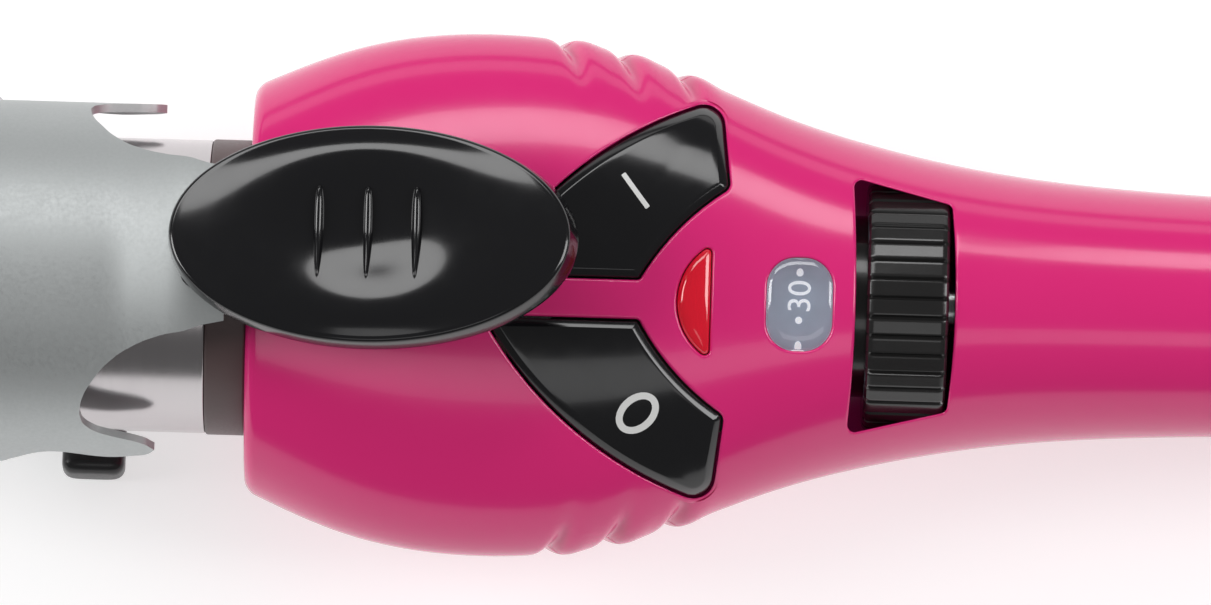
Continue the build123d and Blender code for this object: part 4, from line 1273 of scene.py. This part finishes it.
@dataclass
class DialUnit:
    """The ribbed dial wheel and the drum that shows its numbers in the window."""

    layout: Layout
    axis_height: float = 2.6
    radius: float = 13.5
    start: float = 66.5
    width: float = 8.8
    neck_length: float = 2.6
    ribs: int = 40
    rib_depth: float = 0.42
    rib_edge: float = 0.7
    drum_radius: float = 10.0
    drum_start: float = 54.4
    drum_wall: float = 1.6
    shaft_radius: float = 3.0
    window_x: float = 59.3
    digit_height: float = 2.46
    capital_share: float = 0.7
    print_mm: float = 0.03
    shown_number: int = 30
    shown_angle: float = 4.9
    number_step: float = 43.5
    numbers: tuple[int, ...] = (10, 20, 30, 40, 50, 60, 70)
    dot_radius: float = 0.38

    def placed(self, x: np.ndarray, radius: np.ndarray, angle: np.ndarray) -> np.ndarray:
        """Places points about the dial's axis, the angle counted from the panel's normal to the far side."""
        return self.layout.handle(x, radius * np.sin(angle), self.axis_height + radius * np.cos(angle))

    def wheel(self) -> Surface:
        """The wheel: a turned section whose rim is cut into flat facets with narrow grooves between them.

        Returns:
            The closed surface.
        """
        rim, web, hub, end = self.radius, 2.0, 5.0, self.width
        section = [
            (-self.neck_length, self.shaft_radius, 0), (-self.neck_length, self.drum_radius - 0.2, 0),
            (0.0, self.drum_radius - 0.2, 0), (0.0, rim - 1.6, 0), (0.0, rim - 0.8, 1), (0.06, rim - 0.5, 1),
            (0.3, rim - 0.16, 1), (0.65, rim - 0.02, 1), (0.9, rim, 1), (end / 2, rim, 1),
            (end - 0.9, rim, 1), (end - 0.65, rim - 0.02, 1), (end - 0.3, rim - 0.16, 1),
            (end - 0.06, rim - 0.5, 1),
            (end, rim - 0.8, 1), (end, rim - 2.0, 0), (web, rim - 2.0, 0), (web, hub, 0), (end, hub, 0),
            (end, self.shaft_radius, 0),
        ]
        x, radius, cut = (column[:, None] for column in np.array(section).T)
        angle = full_turn(self.ribs * 16)[None, :]
        phase = np.mod(angle * self.ribs / (2 * math.pi) + 0.5, 1.0) * 2 - 1
        facet = math.cos(math.pi / self.ribs) / np.cos(phase * math.pi / self.ribs)
        slope = np.clip((np.abs(phase) - self.rib_edge) / (1 - self.rib_edge), 0, 1)
        groove = self.rib_depth * slope**2 * (3 - 2 * slope)
        shaped = np.where(cut > 0, radius * facet - groove, radius)
        return grid_surface(self.placed(self.start + x + 0 * angle, shaped, angle + 0 * x), True, True)

    def drum(self) -> Surface:
        """The drum: a thin-walled cup with a soft front rim, turned about the dial's axis.

        Returns:
            The closed surface.
        """
        end = self.start - self.neck_length - self.drum_start
        outer, inner = self.drum_radius, self.drum_radius - self.drum_wall
        section = [(0.0, inner), (0.0, outer), (end, outer), (end, self.shaft_radius)]
        section += [(end - self.drum_wall, self.shaft_radius), (end - self.drum_wall, inner)]
        section = softened(np.array(section), 0.3)
        angle = full_turn(128)[None, :]
        x = self.drum_start + section[:, :1] + 0 * angle
        return grid_surface(self.placed(x, section[:, 1:] + 0 * angle, angle + 0 * x), True, True)

    def digits(self, number: int) -> Surface:
        """One number as flat letters, cut fine and wrapped on the drum.

        Across turns into angle, up into length.

        Args:
            number: the number.

        Returns:
            The letters' surface.
        """
        curve = bpy.data.curves.new("digits", "FONT")
        curve.body = str(number)
        curve.size = self.digit_height * MM / self.capital_share
        curve.align_x = "CENTER"
        curve.extrude = self.print_mm * MM
        text = bpy.data.objects.new("digits", curve)
        bpy.context.scene.collection.objects.link(text)
        bpy.context.view_layer.update()
        mesh = bpy.data.meshes.new_from_object(text.evaluated_get(bpy.context.evaluated_depsgraph_get()))
        bpy.data.objects.remove(text)
        points = np.empty(len(mesh.vertices) * 3)
        mesh.vertices.foreach_get("co", points)
        points = points.reshape(-1, 3) / MM
        faces = [tuple(face.vertices) for face in mesh.polygons]
        shown = math.radians(self.shown_angle + (number - self.shown_number) / 10 * self.number_step)
        middle = (points[:, 1].min() + points[:, 1].max()) / 2
        radius = self.drum_radius + 0.02 + points[:, 2]
        angle = shown + points[:, 0] / self.drum_radius
        return Surface(self.placed(self.window_x - (points[:, 1] - middle), radius, angle), faces)

    def dot(self, step: float) -> Surface:
        """A round dot on the drum between two numbers.

        Args:
            step: its place, counted in numbers past the one shown.

        Returns:
            The closed surface.
        """
        share = np.array([0.0, 1.0, 1.0, 0.0])[:, None] * self.dot_radius
        lift = np.array([-0.02, -0.02, 0.05, 0.05])[:, None]
        turn = full_turn(32)[None, :]
        shown = math.radians(self.shown_angle + step * self.number_step)
        angle = shown + share * np.sin(turn) / self.drum_radius
        x = self.window_x + share * np.cos(turn)
        return grid_surface(self.placed(x, self.drum_radius + lift + 0 * x, angle), False, True)

    def build(self) -> None:
        """Builds the wheel, the drum and the printed scale."""
        # The drum's finish carries a painted glow: an emission on a part that is no lamp.
        black, painted_glow_drum, white = (MATERIALS[key] for key in ("dial_plastic", "drum_plastic", "digit_white"))
        make_piece("ribbed_wheel", self.wheel(), black, "dial", "dial_plastic", ("dial_wheel",), 28)
        make_piece("number_drum", self.drum(), painted_glow_drum, "dial", "drum_plastic", ("dial_drum",))
        marks = [self.digits(number) for number in self.numbers]
        first, last = ((number - self.shown_number) // 10 for number in (self.numbers[0], self.numbers[-1]))
        marks += [self.dot(step + part / 3) for step in range(first, last) for part in (1, 2)]
        make_piece("drum_numbers", Surface.join(marks), white, "dial", "drum_plastic")


# ---------------------------------------------------------------- clamp


@dataclass
class Clamp:
    """The pressed clamp: a rounded spoon, a cone, a saddle with hinge ears and prongs, and the tongue."""

    layout: Layout
    sheet: float = 0.9
    spoon: float = 16.075
    saddle: float = 18.7
    tongue: float = 20.2
    reach: float = 163.0
    lip_rise: float = 2.4
    spoon_round: float = 13.0
    spoon_angle: float = 52.0
    hinge: float = 30.0
    ear: float = 4.5
    split_x: float = -17.6
    split_height: float = 9.6
    tongue_end: float = 2.2
    pin_hole: float = 1.55
    prong_tip: float = -9.6
    prong_under: tuple[Pair, ...] = (
        (-25.5, -1.0), (-23.0, 1.6), (-20.6, 2.5), (-17.0, 1.75),
        (-14.0, 1.3), (-11.4, 2.0), (-10.2, 2.7), (-9.6, 3.7),
    )
    prong_over: tuple[Pair, ...] = (
        (-17.6, 9.6), (-17.3, 8.4), (-16.6, 7.6), (-15.6, 6.9),
        (-13.8, 6.2), (-12.0, 5.6), (-10.6, 4.9), (-9.6, 3.7),
    )
    tongue_side: tuple[Pair, ...] = (
        (-17.6, 9.6), (-17.45, 11.1), (-16.9, 12.4), (-15.4, 14.2),
        (-13.4, 15.6), (-11.0, 16.9), (-8.2, 18.0), (-5.0, 18.65),
    )

    def radius(self, x: np.ndarray, tongue: bool) -> np.ndarray:
        """Inner radius along the clamp.

        Straight stretches whose bends are softened by averaging over a short span.

        Args:
            x: distance behind the face.
            tongue: lift the rear end onto the tongue.

        Returns:
            The radius.
        """
        places = [-200.0, -self.reach, -self.reach + 6.0, -58.0, -46.0, -14.0, -7.0, 10.0]
        end = self.tongue if tongue else self.saddle
        rise = self.spoon + self.lip_rise
        values = [rise + 14.8, rise, self.spoon, self.spoon, self.saddle, self.saddle, end, end]
        spread = np.linspace(-1.4, 1.4, 15)
        return np.mean([np.interp(x + step, places, values) for step in spread], axis=0)

    def edge(self, x: np.ndarray) -> np.ndarray:
        """Height of the lower edge.

        The spoon's elliptic end, its long edge, the sweep to the ears and the prongs.

        Args:
            x: distance behind the face.

        Returns:
            Height above the axis.
        """
        long_edge = (self.spoon + self.sheet / 2) * math.cos(math.radians(self.spoon_angle))
        top = self.spoon + self.lip_rise + self.sheet
        front = np.clip((x + self.reach - self.spoon_round) / -self.spoon_round, 0, 1)
        spoon = top - (top - long_edge) * np.sqrt(1 - front**2)
        sweep = arc_through((-58.0, long_edge), (-47.5, 6.6), (-34.5, -1.0))
        ear = arc_through((-34.5, -1.0), (-30.0, -self.ear), (-25.5, -1.0))
        prong = np.array(self.prong_under)
        fine = np.linspace(prong[0, 0], self.prong_tip, 90)
        prong = np.stack([fine, natural_spline(prong[:, 0], prong[:, 1], fine)], axis=-1)
        line = np.concatenate([sweep, ear[1:], prong[1:]])
        return np.where(x < -58.0, spoon, np.interp(x, line[:, 0], line[:, 1]))

    def angle(self, x: np.ndarray, height: np.ndarray, tongue: bool) -> np.ndarray:
        """The angle from the top at which the sheet's middle layer has a height."""
        return np.arccos(np.clip(height / (self.radius(x, tongue) + self.sheet / 2), -1, 1))

    def blade(self) -> Surface:
        """The whole pressed sheet.

        Fans of columns between the edges, wrapped on the radius and given its thickness.

        Returns:
            The closed surface.
        """
        columns = 61
        nose = -self.reach + self.spoon_round * (1 - np.cos(np.linspace(0.02, math.pi / 2, 34)))
        main_x = np.concatenate([nose[:-1], np.linspace(-self.reach + self.spoon_round, -60, 60)[:-1]])
        main_x = np.concatenate([main_x, np.linspace(-60, self.split_x, 110)])[:, None]
        split_x = np.array([self.split_x])
        whole = float(self.angle(split_x, self.edge(split_x), False)[0])
        share = float(self.angle(split_x, np.array([self.split_height]), False)[0]) / whole
        inner = np.linspace(-share, share, columns)
        outer = np.linspace(share, 1, 17)
        grids = []
        flat = np.concatenate([-outer[::-1][:-1], inner, outer[1:]])[None, :]
        grids.append((main_x, flat * self.angle(main_x, self.edge(main_x), False), True))
        cut = np.array([*self.tongue_side, (-self.tongue_end, 18.9)])
        bow = 1 - np.cos(np.linspace(0, math.pi / 2, 46))
        tongue_x = (self.split_x + (-self.tongue_end - self.split_x) * bow)[:, None]
        tongue_edge = self.angle(tongue_x, np.interp(tongue_x, *self.fine(cut).T), True)
        grids.append((tongue_x, inner[None, :] / share * tongue_edge, True))
        swing = (1 - np.cos(np.linspace(0, math.pi, 40))) / 2
        prong_x = (self.split_x + (self.prong_tip - self.split_x) * swing)[:, None]
        over = self.fine(np.array(self.prong_over))
        upper_edge = self.angle(prong_x, np.interp(prong_x, *over.T), False)
        lower_edge = self.angle(prong_x, self.edge(prong_x), False)
        spread = (outer[None, :] - share) / (1 - share)
        prong = upper_edge + spread * (lower_edge - upper_edge)
        grids += [(prong_x, prong, False), (prong_x, -prong[:, ::-1], False)]
        outside, inside, quads, start = [], [], [], 0
        for x, angle, tongue in grids:
            x, angle = np.broadcast_arrays(x, angle)
            for layer, thickness in ((outside, self.sheet), (inside, 0.0)):
                size = self.radius(x, tongue) + thickness
                layer.append(self.layout.barrel(x, size * np.sin(angle), size * np.cos(angle)).reshape(-1, 3))
            quads.append(grid_faces(*x.shape) + start)
            start += x.size
        return walled(np.concatenate(outside), np.concatenate(inside), np.concatenate(quads))

    @staticmethod
    def fine(places: np.ndarray) -> np.ndarray:
        """A dense copy of a line of places, smoothed by averaging its neighbours.

        Args:
            places: places in order, as an array by two.

        Returns:
            The smoothed places, with both ends kept.
        """
        step = np.linspace(0, len(places) - 1, 400)
        dense = [np.interp(step, np.arange(len(places)), places[:, k]) for k in (0, 1)]
        kernel = np.ones(31) / 31
        smooth = [np.convolve(np.pad(line, 15, "edge"), kernel, "valid") for line in dense]
        smooth = np.stack(smooth, axis=-1)
        smooth[0], smooth[-1] = places[0], places[-1]
        return smooth

    def pin_tool(self) -> Surface:
        """A long closed rod on the hinge line.

        Returns:
            The closed surface.
        """
        angle = full_turn(40)[None, :]
        radius = np.array([0.0, self.pin_hole, self.pin_hole, 0.0])[:, None]
        y = np.array([-30.0, -30.0, 30.0, 30.0])[:, None]
        points = self.layout.barrel(radius * np.cos(angle) - self.hinge, y, radius * np.sin(angle))
        return grid_surface(points, False, True)

    def build(self) -> None:
        """Builds the blade, drills the hinge holes and breaks its edges with a fine bevel."""
        metal = MATERIALS["satin_metal"]
        blade = make_piece("pressed_clamp", self.blade(), metal, "clamp", "satin_metal", ("clamp_blade",), 30)
        cut_away(blade, self.pin_tool(), 30)
        bevel = blade.modifiers.new("broken_edges", "BEVEL")
        bevel.width = 0.2 * MM
        bevel.segments = 2
        bevel.limit_method = "ANGLE"
        bevel.angle_limit = math.radians(50)


def walled(outer: np.ndarray, inner: np.ndarray, quads: np.ndarray) -> Surface:
    """A closed wall from quads shared by two layers.

    Coinciding points are merged, and open edges get a strip.

    Args:
        outer: points of the outer layer.
        inner: points of the inner layer, in the same order.
        quads: the faces of either layer.

    Returns:
        The closed surface.
    """
    _, first, merged = np.unique(np.round(outer, 8), axis=0, return_index=True, return_inverse=True)
    outer, inner, quads = outer[first], inner[first], merged.reshape(-1)[quads]
    unique = [tuple(dict.fromkeys(face)) for face in wall_faces(quads, len(outer)).tolist()]
    return Surface(np.concatenate([outer, inner]), [face for face in unique if len(face) > 2])


@dataclass
class ThumbLever:
    """The gloss lever.

    A flared elliptic body with a fine edge, a swelling crown, a dish and three tapered ribs.
    """

    layout: Layout
    length: float = 42.2
    width: float = 23.6
    flare: float = 0.5
    rear_flare: float = 1.2
    front: float = 8.2
    height: float = 26.6
    thickness: float = 4.2
    slope: float = 3.3
    fillet: float = 1.2
    edge_round: float = 0.45
    crown: float = 0.85
    dish_length: float = 12.2
    dish_width: float = 8.6
    depth: float = 1.5
    rib_pitch: float = 5.2
    rib_half_width: float = 0.55
    rib_length: float = 10.2
    rib_rise: float = 0.8

    def placed(self, along: np.ndarray, across: np.ndarray, up: np.ndarray) -> np.ndarray:
        """Places points of the lever's own sloping frame, whose origin is the middle of its face.

        Args:
            along: along the lever.
            across: across it.
            up: above its face.

        Returns:
            Points in metres, in the row's frame.
        """
        lean = math.radians(self.slope)
        middle = -self.front + self.length / 2
        x = middle + along * math.cos(lean) - up * math.sin(lean)
        return self.layout.barrel(x, across, self.height + along * math.sin(lean) + up * math.cos(lean))

    def floor(self, along: np.ndarray, across: np.ndarray) -> np.ndarray:
        """Level of the dish: half a cosine wave from its elliptic edge down to its middle."""
        reach = np.sqrt((along / self.dish_length) ** 2 + (across / self.dish_width) ** 2)
        return -self.depth * (1 + np.cos(math.pi * np.clip(reach, 0, 1))) / 2

    def shape(self) -> Surface:
        """The lever's body.

        One section, up the flared wall, over a fine edge and a swelling crown, into the dish.

        Returns:
            The closed surface.
        """
        turn = np.linspace(0, math.pi / 2, 8)
        low = self.fillet * np.stack([1 - np.sin(turn), 1 - np.cos(turn)])
        edge = self.edge_round * np.stack([1 - np.cos(turn), 1 - np.sin(turn)])
        inset = np.concatenate([low[0], edge[0]])
        level = np.concatenate([-self.thickness + low[1], -self.crown - edge[1]])
        lower = np.clip(-level / self.thickness, 0, 1)
        half_length = self.length / 2 + lower * (self.flare + self.rear_flare / 2) - inset
        half_width = self.width / 2 + lower * self.flare - inset
        shift = lower * self.rear_flare / 2
        share = np.linspace(0, 1, 17)[1:]
        crest_length = half_length[-1] * (1 - share) + self.dish_length * share
        crest_width = half_width[-1] * (1 - share) + self.dish_width * share
        half_length = np.concatenate([[0.0], half_length, crest_length])
        half_width = np.concatenate([[0.0], half_width, crest_width])
        shift = np.concatenate([[shift[0]], shift, shift[-1] * (1 - share)])
        swell = -self.crown * (1 - np.sin(math.pi / 2 * share))
        level = np.concatenate([[-self.thickness], level, swell])
        scale = np.linspace(1, 0, 19)[1:]
        half_length = np.concatenate([half_length, self.dish_length * scale])[:, None]
        half_width = np.concatenate([half_width, self.dish_width * scale])[:, None]
        shift = np.concatenate([shift, 0 * scale])[:, None]
        angle = full_turn(160)[None, :]
        along, across = shift + half_length * np.cos(angle), half_width * np.sin(angle)
        dish = self.floor(along[-18:], across[-18:])
        level = np.concatenate([level[:, None] + 0 * angle, dish])
        return grid_surface(self.placed(along, across, level), False, True)

    def rib(self, step: float) -> Surface:
        """A rib across the dish.

        An oval section that swells quickly at its far end and runs to a point at its near one.

        Args:
            step: its place, counted in ribs from the middle one.

        Returns:
            The closed surface.
        """
        share = np.linspace(0, 1, 36)[:, None]
        size = np.sqrt(np.clip(1 - (2 * share - 1) ** 2, 0, 1)) ** 0.8 * (1 - 0.45 * share)
        size = size / size.max()
        turn = full_turn(20)[None, :]
        across = self.rib_length * (0.5 - share) + 0 * turn
        along = step * self.rib_pitch + self.rib_half_width * size * np.cos(turn)
        rise = self.rib_rise * size * np.sin(turn) * np.where(np.sin(turn) > 0, 1, 0.4)
        return grid_surface(self.placed(along, across, self.floor(along, across) + rise), False, True)

    def build(self) -> None:
        """Builds the lever with its ribs."""
        gloss = MATERIALS["black_gloss"]
        make_piece("gloss_lever", self.shape(), gloss, "clamp", "black_gloss", ("thumb_lever",), 60)
        ribs = Surface.join([self.rib(step) for step in (-1, 0, 1)])
        make_piece("lever_ribs", ribs, gloss, "clamp", "black_gloss", (), 60)


# ---------------------------------------------------------------- barrel, stand and swivel


@dataclass
class BarrelUnit:
    """The barrel's polished tube, its cool tip with finger rings and the resin collar."""

    layout: Layout
    radius: float = 15.875
    wall: float = 0.8
    length: float = 165.0
    tip: float = 16.0
    nose: float = 6.0
    collar: float = 4.4
    collar_radius: float = 16.0
    neck_radius: float = 12.6
    finger_rings: int = 3
    ring_pitch: float = 2.2
    ring_start: float = 2.6
    ring_depth: float = 0.5
    spigot_reach: float = 9.0

    def tube(self) -> Surface:
        """The tube: a thin ring section."""
        front, rear, outer = -self.collar - self.length, -self.collar, self.radius
        inner = outer - self.wall
        return revolved(self.layout, [(front, inner), (front, outer), (rear, outer), (rear, inner)], 200)

    def cool_tip(self) -> Surface:
        """The tip: a quarter-round nose, three finger rings, and a spigot that enters the tube.

        Returns:
            The closed surface.
        """
        rear = -self.collar - self.length
        front, radius, spigot = rear - self.tip, self.radius, self.radius - self.wall - 0.1
        turn = np.linspace(0, math.pi / 2, 10)
        nose = [(self.nose * (1 - math.sin(a)), self.nose * (1 - math.cos(a))) for a in turn[::-1]]
        nose = [(front + along, radius - drop) for along, drop in nose]
        low, rings = radius - self.ring_depth, []
        for step in range(self.finger_rings):
            start = rear - self.ring_start - self.ring_pitch * step
            rings = [(start - 1.0, radius), (start - 0.7, low), (start - 0.3, low), (start, radius)] + rings
        end, inner = rear + self.spigot_reach, spigot - 1.6
        hollow = [(end, spigot), (end, inner), (rear - 8.0, inner), (rear - 8.0, 0.0)]
        profile = [(front, 0.0), *nose, *rings, (rear, radius), (rear, spigot), *hollow]
        return revolved(self.layout, profile, 200, 0.2)

    def collar_ring(self) -> Surface:
        """The collar: a spigot in the tube, the shown ring, the neck through the shells' face and its flange.

        Returns:
            The closed surface.
        """
        spigot, bore = self.radius - self.wall - 0.1, 6.5
        profile = [
            (-self.collar - self.spigot_reach, bore), (-self.collar - self.spigot_reach, spigot),
            (-self.collar, spigot),
            (-self.collar, self.collar_radius), (0.0, self.collar_radius), (0.0, self.neck_radius),
            (2.4, self.neck_radius), (2.4, 14.2), (5.0, 14.2), (5.0, bore),
        ]
        return revolved(self.layout, profile, 200, 0.35)

    def build(self) -> None:
        """Builds the tube, the tip and the collar."""
        slots = ("polished_metal", "black_plastic", "collar_resin")
        polished, grained, resin = (MATERIALS[slot] for slot in slots)
        make_piece("polished_tube", self.tube(), polished, "tool", "polished_metal", ("barrel_tube",))
        make_piece("finger_ring_tip", self.cool_tip(), grained, "tool", "black_plastic", ("barrel_tip",), 30)
        make_piece("resin_collar", self.collar_ring(), resin, "tool", "collar_resin", ("barrel_collar",))


@dataclass
class StandFoot:
    """The stand's moulded foot: a soft bar across the tool with rounded ends."""

    layout: Layout
    centre_x: float = -17.0
    centre_height: float = -20.1
    length: float = 33.6
    width: float = 6.9
    height: float = 5.0
    end_round: float = 1.3
    squareness: float = 4.5

    def bar(self) -> Surface:
        """The bar: a superellipse section carried across, drawn in over quarter rounds at both ends.

        Returns:
            The closed surface.
        """
        turn = np.linspace(0, math.pi / 2, 9)
        half = self.length / 2
        back = turn[::-1]
        left = np.stack([-half + self.end_round * (1 - np.sin(back)), self.end_round * (1 - np.cos(back))])
        middle = np.linspace(-half + 2, half - 2, 12)
        places = np.concatenate([[-half], left[0], middle, -left[0][::-1], [half]])
        inset = np.concatenate([[self.height], left[1], np.zeros(12), left[1][::-1], [self.height]])[:, None]
        angle = full_turn(72)[None, :]
        power = 2 / self.squareness
        round_x = np.sign(np.cos(angle)) * np.abs(np.cos(angle)) ** power
        round_z = np.sign(np.sin(angle)) * np.abs(np.sin(angle)) ** power
        x = self.centre_x + np.clip(self.width / 2 - inset, 0, None) * round_x
        z = self.centre_height + np.clip(self.height / 2 - inset, 0, None) * round_z
        return grid_surface(self.layout.barrel(x, places[:, None], z), False, True)

    def build(self) -> None:
        """Builds the foot."""
        soft = MATERIALS["foot_plastic"]
        make_piece("soft_foot", self.bar(), soft, "stand", "foot_plastic", ("stand_foot",), 40)


@dataclass
class CordSwivel:
    """The swivel at the rear: a collared socket and a turning sleeve with relief grooves round its nose."""

    layout: Layout
    rear: float = 160.0
    bore: float = 3.3
    sleeve_radius: float = 6.1
    nose_radius: float = 8.6
    tip_radius: float = 6.0
    nose_length: float = 10.0
    grooves: int = 4
    groove_pitch: float = 1.9
    groove_start: float = 2.0

    def socket(self) -> Surface:
        """The socket: an inner flange, a body through the rear wall and the shown collar.

        Returns:
            The closed surface.
        """
        bore, flange = self.sleeve_radius + 0.06, self.rear - 7.0
        profile = [
            (flange, bore), (flange, 10.0), (flange + 4.0, 10.0), (flange + 4.0, 9.0), (self.rear, 9.0),
            (self.rear, 10.8), (self.rear + 2.7, 10.8), (self.rear + 3.5, 10.0), (self.rear + 3.5, bore),
        ]
        return revolved(self.layout, profile, 160, 0.3)

    def sleeve(self) -> Surface:
        """The sleeve: a tube with a retaining flange, and a tapering nose cut by four grooves.

        Returns:
            The closed surface.
        """
        start, small = self.rear + 3.8, self.sleeve_radius
        nose = [(start, small), (start, self.nose_radius)]
        for step in range(self.grooves):
            place = start + self.groove_start + self.groove_pitch * step
            share = (place - start) / self.nose_length
            size = self.nose_radius - share * (self.nose_radius - self.tip_radius)
            nose += [(place, size), (place + 0.2, size - 0.7)]
            nose += [(place + 0.7, size - 0.75), (place + 0.9, size - 0.2)]
        end = start + self.nose_length
        front = self.rear - 19.8
        inner = [(front, self.bore), (front, small), (front + 10.0, small), (front + 10.0, 8.0)]
        inner += [(front + 12.5, 8.0), (front + 12.5, small)]
        profile = [*inner, *nose, (end, self.tip_radius), (end, self.bore)]
        return revolved(self.layout, profile, 160, 0.25)

    def build(self) -> None:
        """Builds the socket and the sleeve."""
        grained = MATERIALS["black_plastic"]
        make_piece("collared_socket", self.socket(), grained, "tool", "black_plastic", ("swivel_socket",))
        make_piece("relief_sleeve", self.sleeve(), grained, "swivel", "black_plastic", ("swivel_sleeve",), 30)


# ---------------------------------------------------------------- studio


@dataclass(frozen=True)
class SoftLight:
    """One rectangular light: its place and size in metres, and its power in watts."""

    name: str
    place: Triple
    size: Pair
    watts: float


@dataclass
class Studio:
    """A white floor, large soft lights and the camera that looks straight down on the panel."""

    layout: Layout
    distance: float = 1400.0
    frame_width: float = 131.2
    centre_x: float = 38.5
    centre_side: float = -0.41
    slope: float = 1.72
    sensor: float = 36.0
    world_strength: float = 0.14
    floor_half: float = 6.0
    floor_glow: float = 0.62
    lights: tuple[SoftLight, ...] = (
        SoftLight("key_panel", (-0.215, 0.78, 1.14), (1.33, 0.4), 8),
        SoftLight("left_panel", (-1.1, 0.0, 0.85), (0.5, 0.8), 10),
        SoftLight("right_panel", (1.1, 0.0, 0.85), (0.5, 0.8), 8),
        SoftLight("far_strip", (0.0, 1.3, 0.3), (1.6, 0.25), 1.2),
        SoftLight("near_panel", (0.1, -0.8, 1.1), (0.7, 0.3), 0.8),
    )

    def camera(self) -> None:
        """Puts the camera on the panel's normal, rolled so that the long axis falls slightly to the right."""
        turn, roll = math.radians(self.layout.panel_turn), math.radians(self.slope)
        side = Vector((0, math.cos(turn), math.sin(turn)))
        back = Vector((0, -math.sin(turn), math.cos(turn)))
        right = Vector((1, 0, 0)) * math.cos(roll) + side * math.sin(roll)
        up = side * math.cos(roll) - Vector((1, 0, 0)) * math.sin(roll)
        data = bpy.data.cameras.new("panel_camera")
        data.sensor_width = self.sensor
        data.lens = self.sensor * self.distance / self.frame_width
        data.clip_end = 20.0
        camera = bpy.data.objects.new("panel_camera", data)
        centre = (np.array(value) for value in (self.centre_x, self.centre_side, self.distance))
        place = self.layout.handle(*centre)
        rows = [[right[k], up[k], back[k], float(place[k])] for k in range(3)] + [[0, 0, 0, 1]]
        camera.matrix_world = Matrix(rows)
        bpy.context.scene.collection.objects.link(camera)
        bpy.context.scene.camera = camera

    def light(self, soft: SoftLight) -> None:
        """Adds a rectangular soft light that faces the tool's middle.

        Args:
            soft: the light.
        """
        data = bpy.data.lights.new(soft.name, "AREA")
        data.shape = "RECTANGLE"
        data.size, data.size_y = soft.size
        data.energy = soft.watts
        light = bpy.data.objects.new(soft.name, data)
        light.location = soft.place
        aim = Vector((0.03, 0.0, 0.02)) - Vector(soft.place)
        light.rotation_mode = "QUATERNION"
        light.rotation_quaternion = aim.to_track_quat("-Z", "Y")
        bpy.context.scene.collection.objects.link(light)

    def floor(self) -> None:
        """Lays the plain floor."""
        half = self.floor_half
        mesh = bpy.data.meshes.new("studio_floor")
        corners = [(-half, -half, 0), (half, -half, 0), (half, half, 0), (-half, half, 0)]
        mesh.from_pydata(corners, [], [(0, 1, 2, 3)])
        sheet = NodeSheet("white_floor")
        sheet.set(Base_Color=(0.5, 0.5, 0.5, 1), Roughness=0.9, Specular_IOR_Level=0.1)
        sheet.set(Emission_Color=(1, 1, 1, 1), Emission_Strength=self.floor_glow)
        mesh.materials.append(sheet.material)
        floor = bpy.data.objects.new("studio_floor", mesh)
        bpy.context.scene.collection.objects.link(floor)

    def build(self) -> None:
        """Sets up the room, the lights and the camera."""
        world = bpy.data.worlds.new("studio_world")
        world.use_nodes = True
        world.node_tree.nodes["Background"].inputs["Color"].default_value = (1, 1, 1, 1)
        world.node_tree.nodes["Background"].inputs["Strength"].default_value = self.world_strength
        bpy.context.scene.world = world
        bpy.context.scene.view_settings.view_transform = "Standard"
        self.floor()
        for soft in self.lights:
            self.light(soft)
        self.camera()


def dress_frame() -> None:
    """Gives every CAD node the finish of its own material slot."""
    slots = {part["node"]: part["material_slot"] for part in frame["record"]["subparts"]}
    for name, node in frame["nodes"].items():
        finish = MATERIALS[slots[name]]
        if not node.data.materials:
            node.data.materials.append(finish)
        for holder in node.material_slots:
            holder.material = finish
        log.info("%s: dressed as %s", name, finish.name)


def main() -> None:
    """Builds every sub-assembly in order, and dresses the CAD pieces."""
    logging.basicConfig(level=logging.INFO, format="%(message)s")
    layout = Layout.from_frame()
    body = HandleBody()
    controls = PanelControls(layout, body)
    dress_frame()
    BarrelUnit(layout).build()
    Clamp(layout).build()
    ThumbLever(layout).build()
    StandFoot(layout).build()
    HandleShells(layout, body).build(controls.openings())
    controls.build()
    DialUnit(layout).build()
    CordSwivel(layout).build()
    Studio(layout).build()


if __name__ == "__main__":
    main()
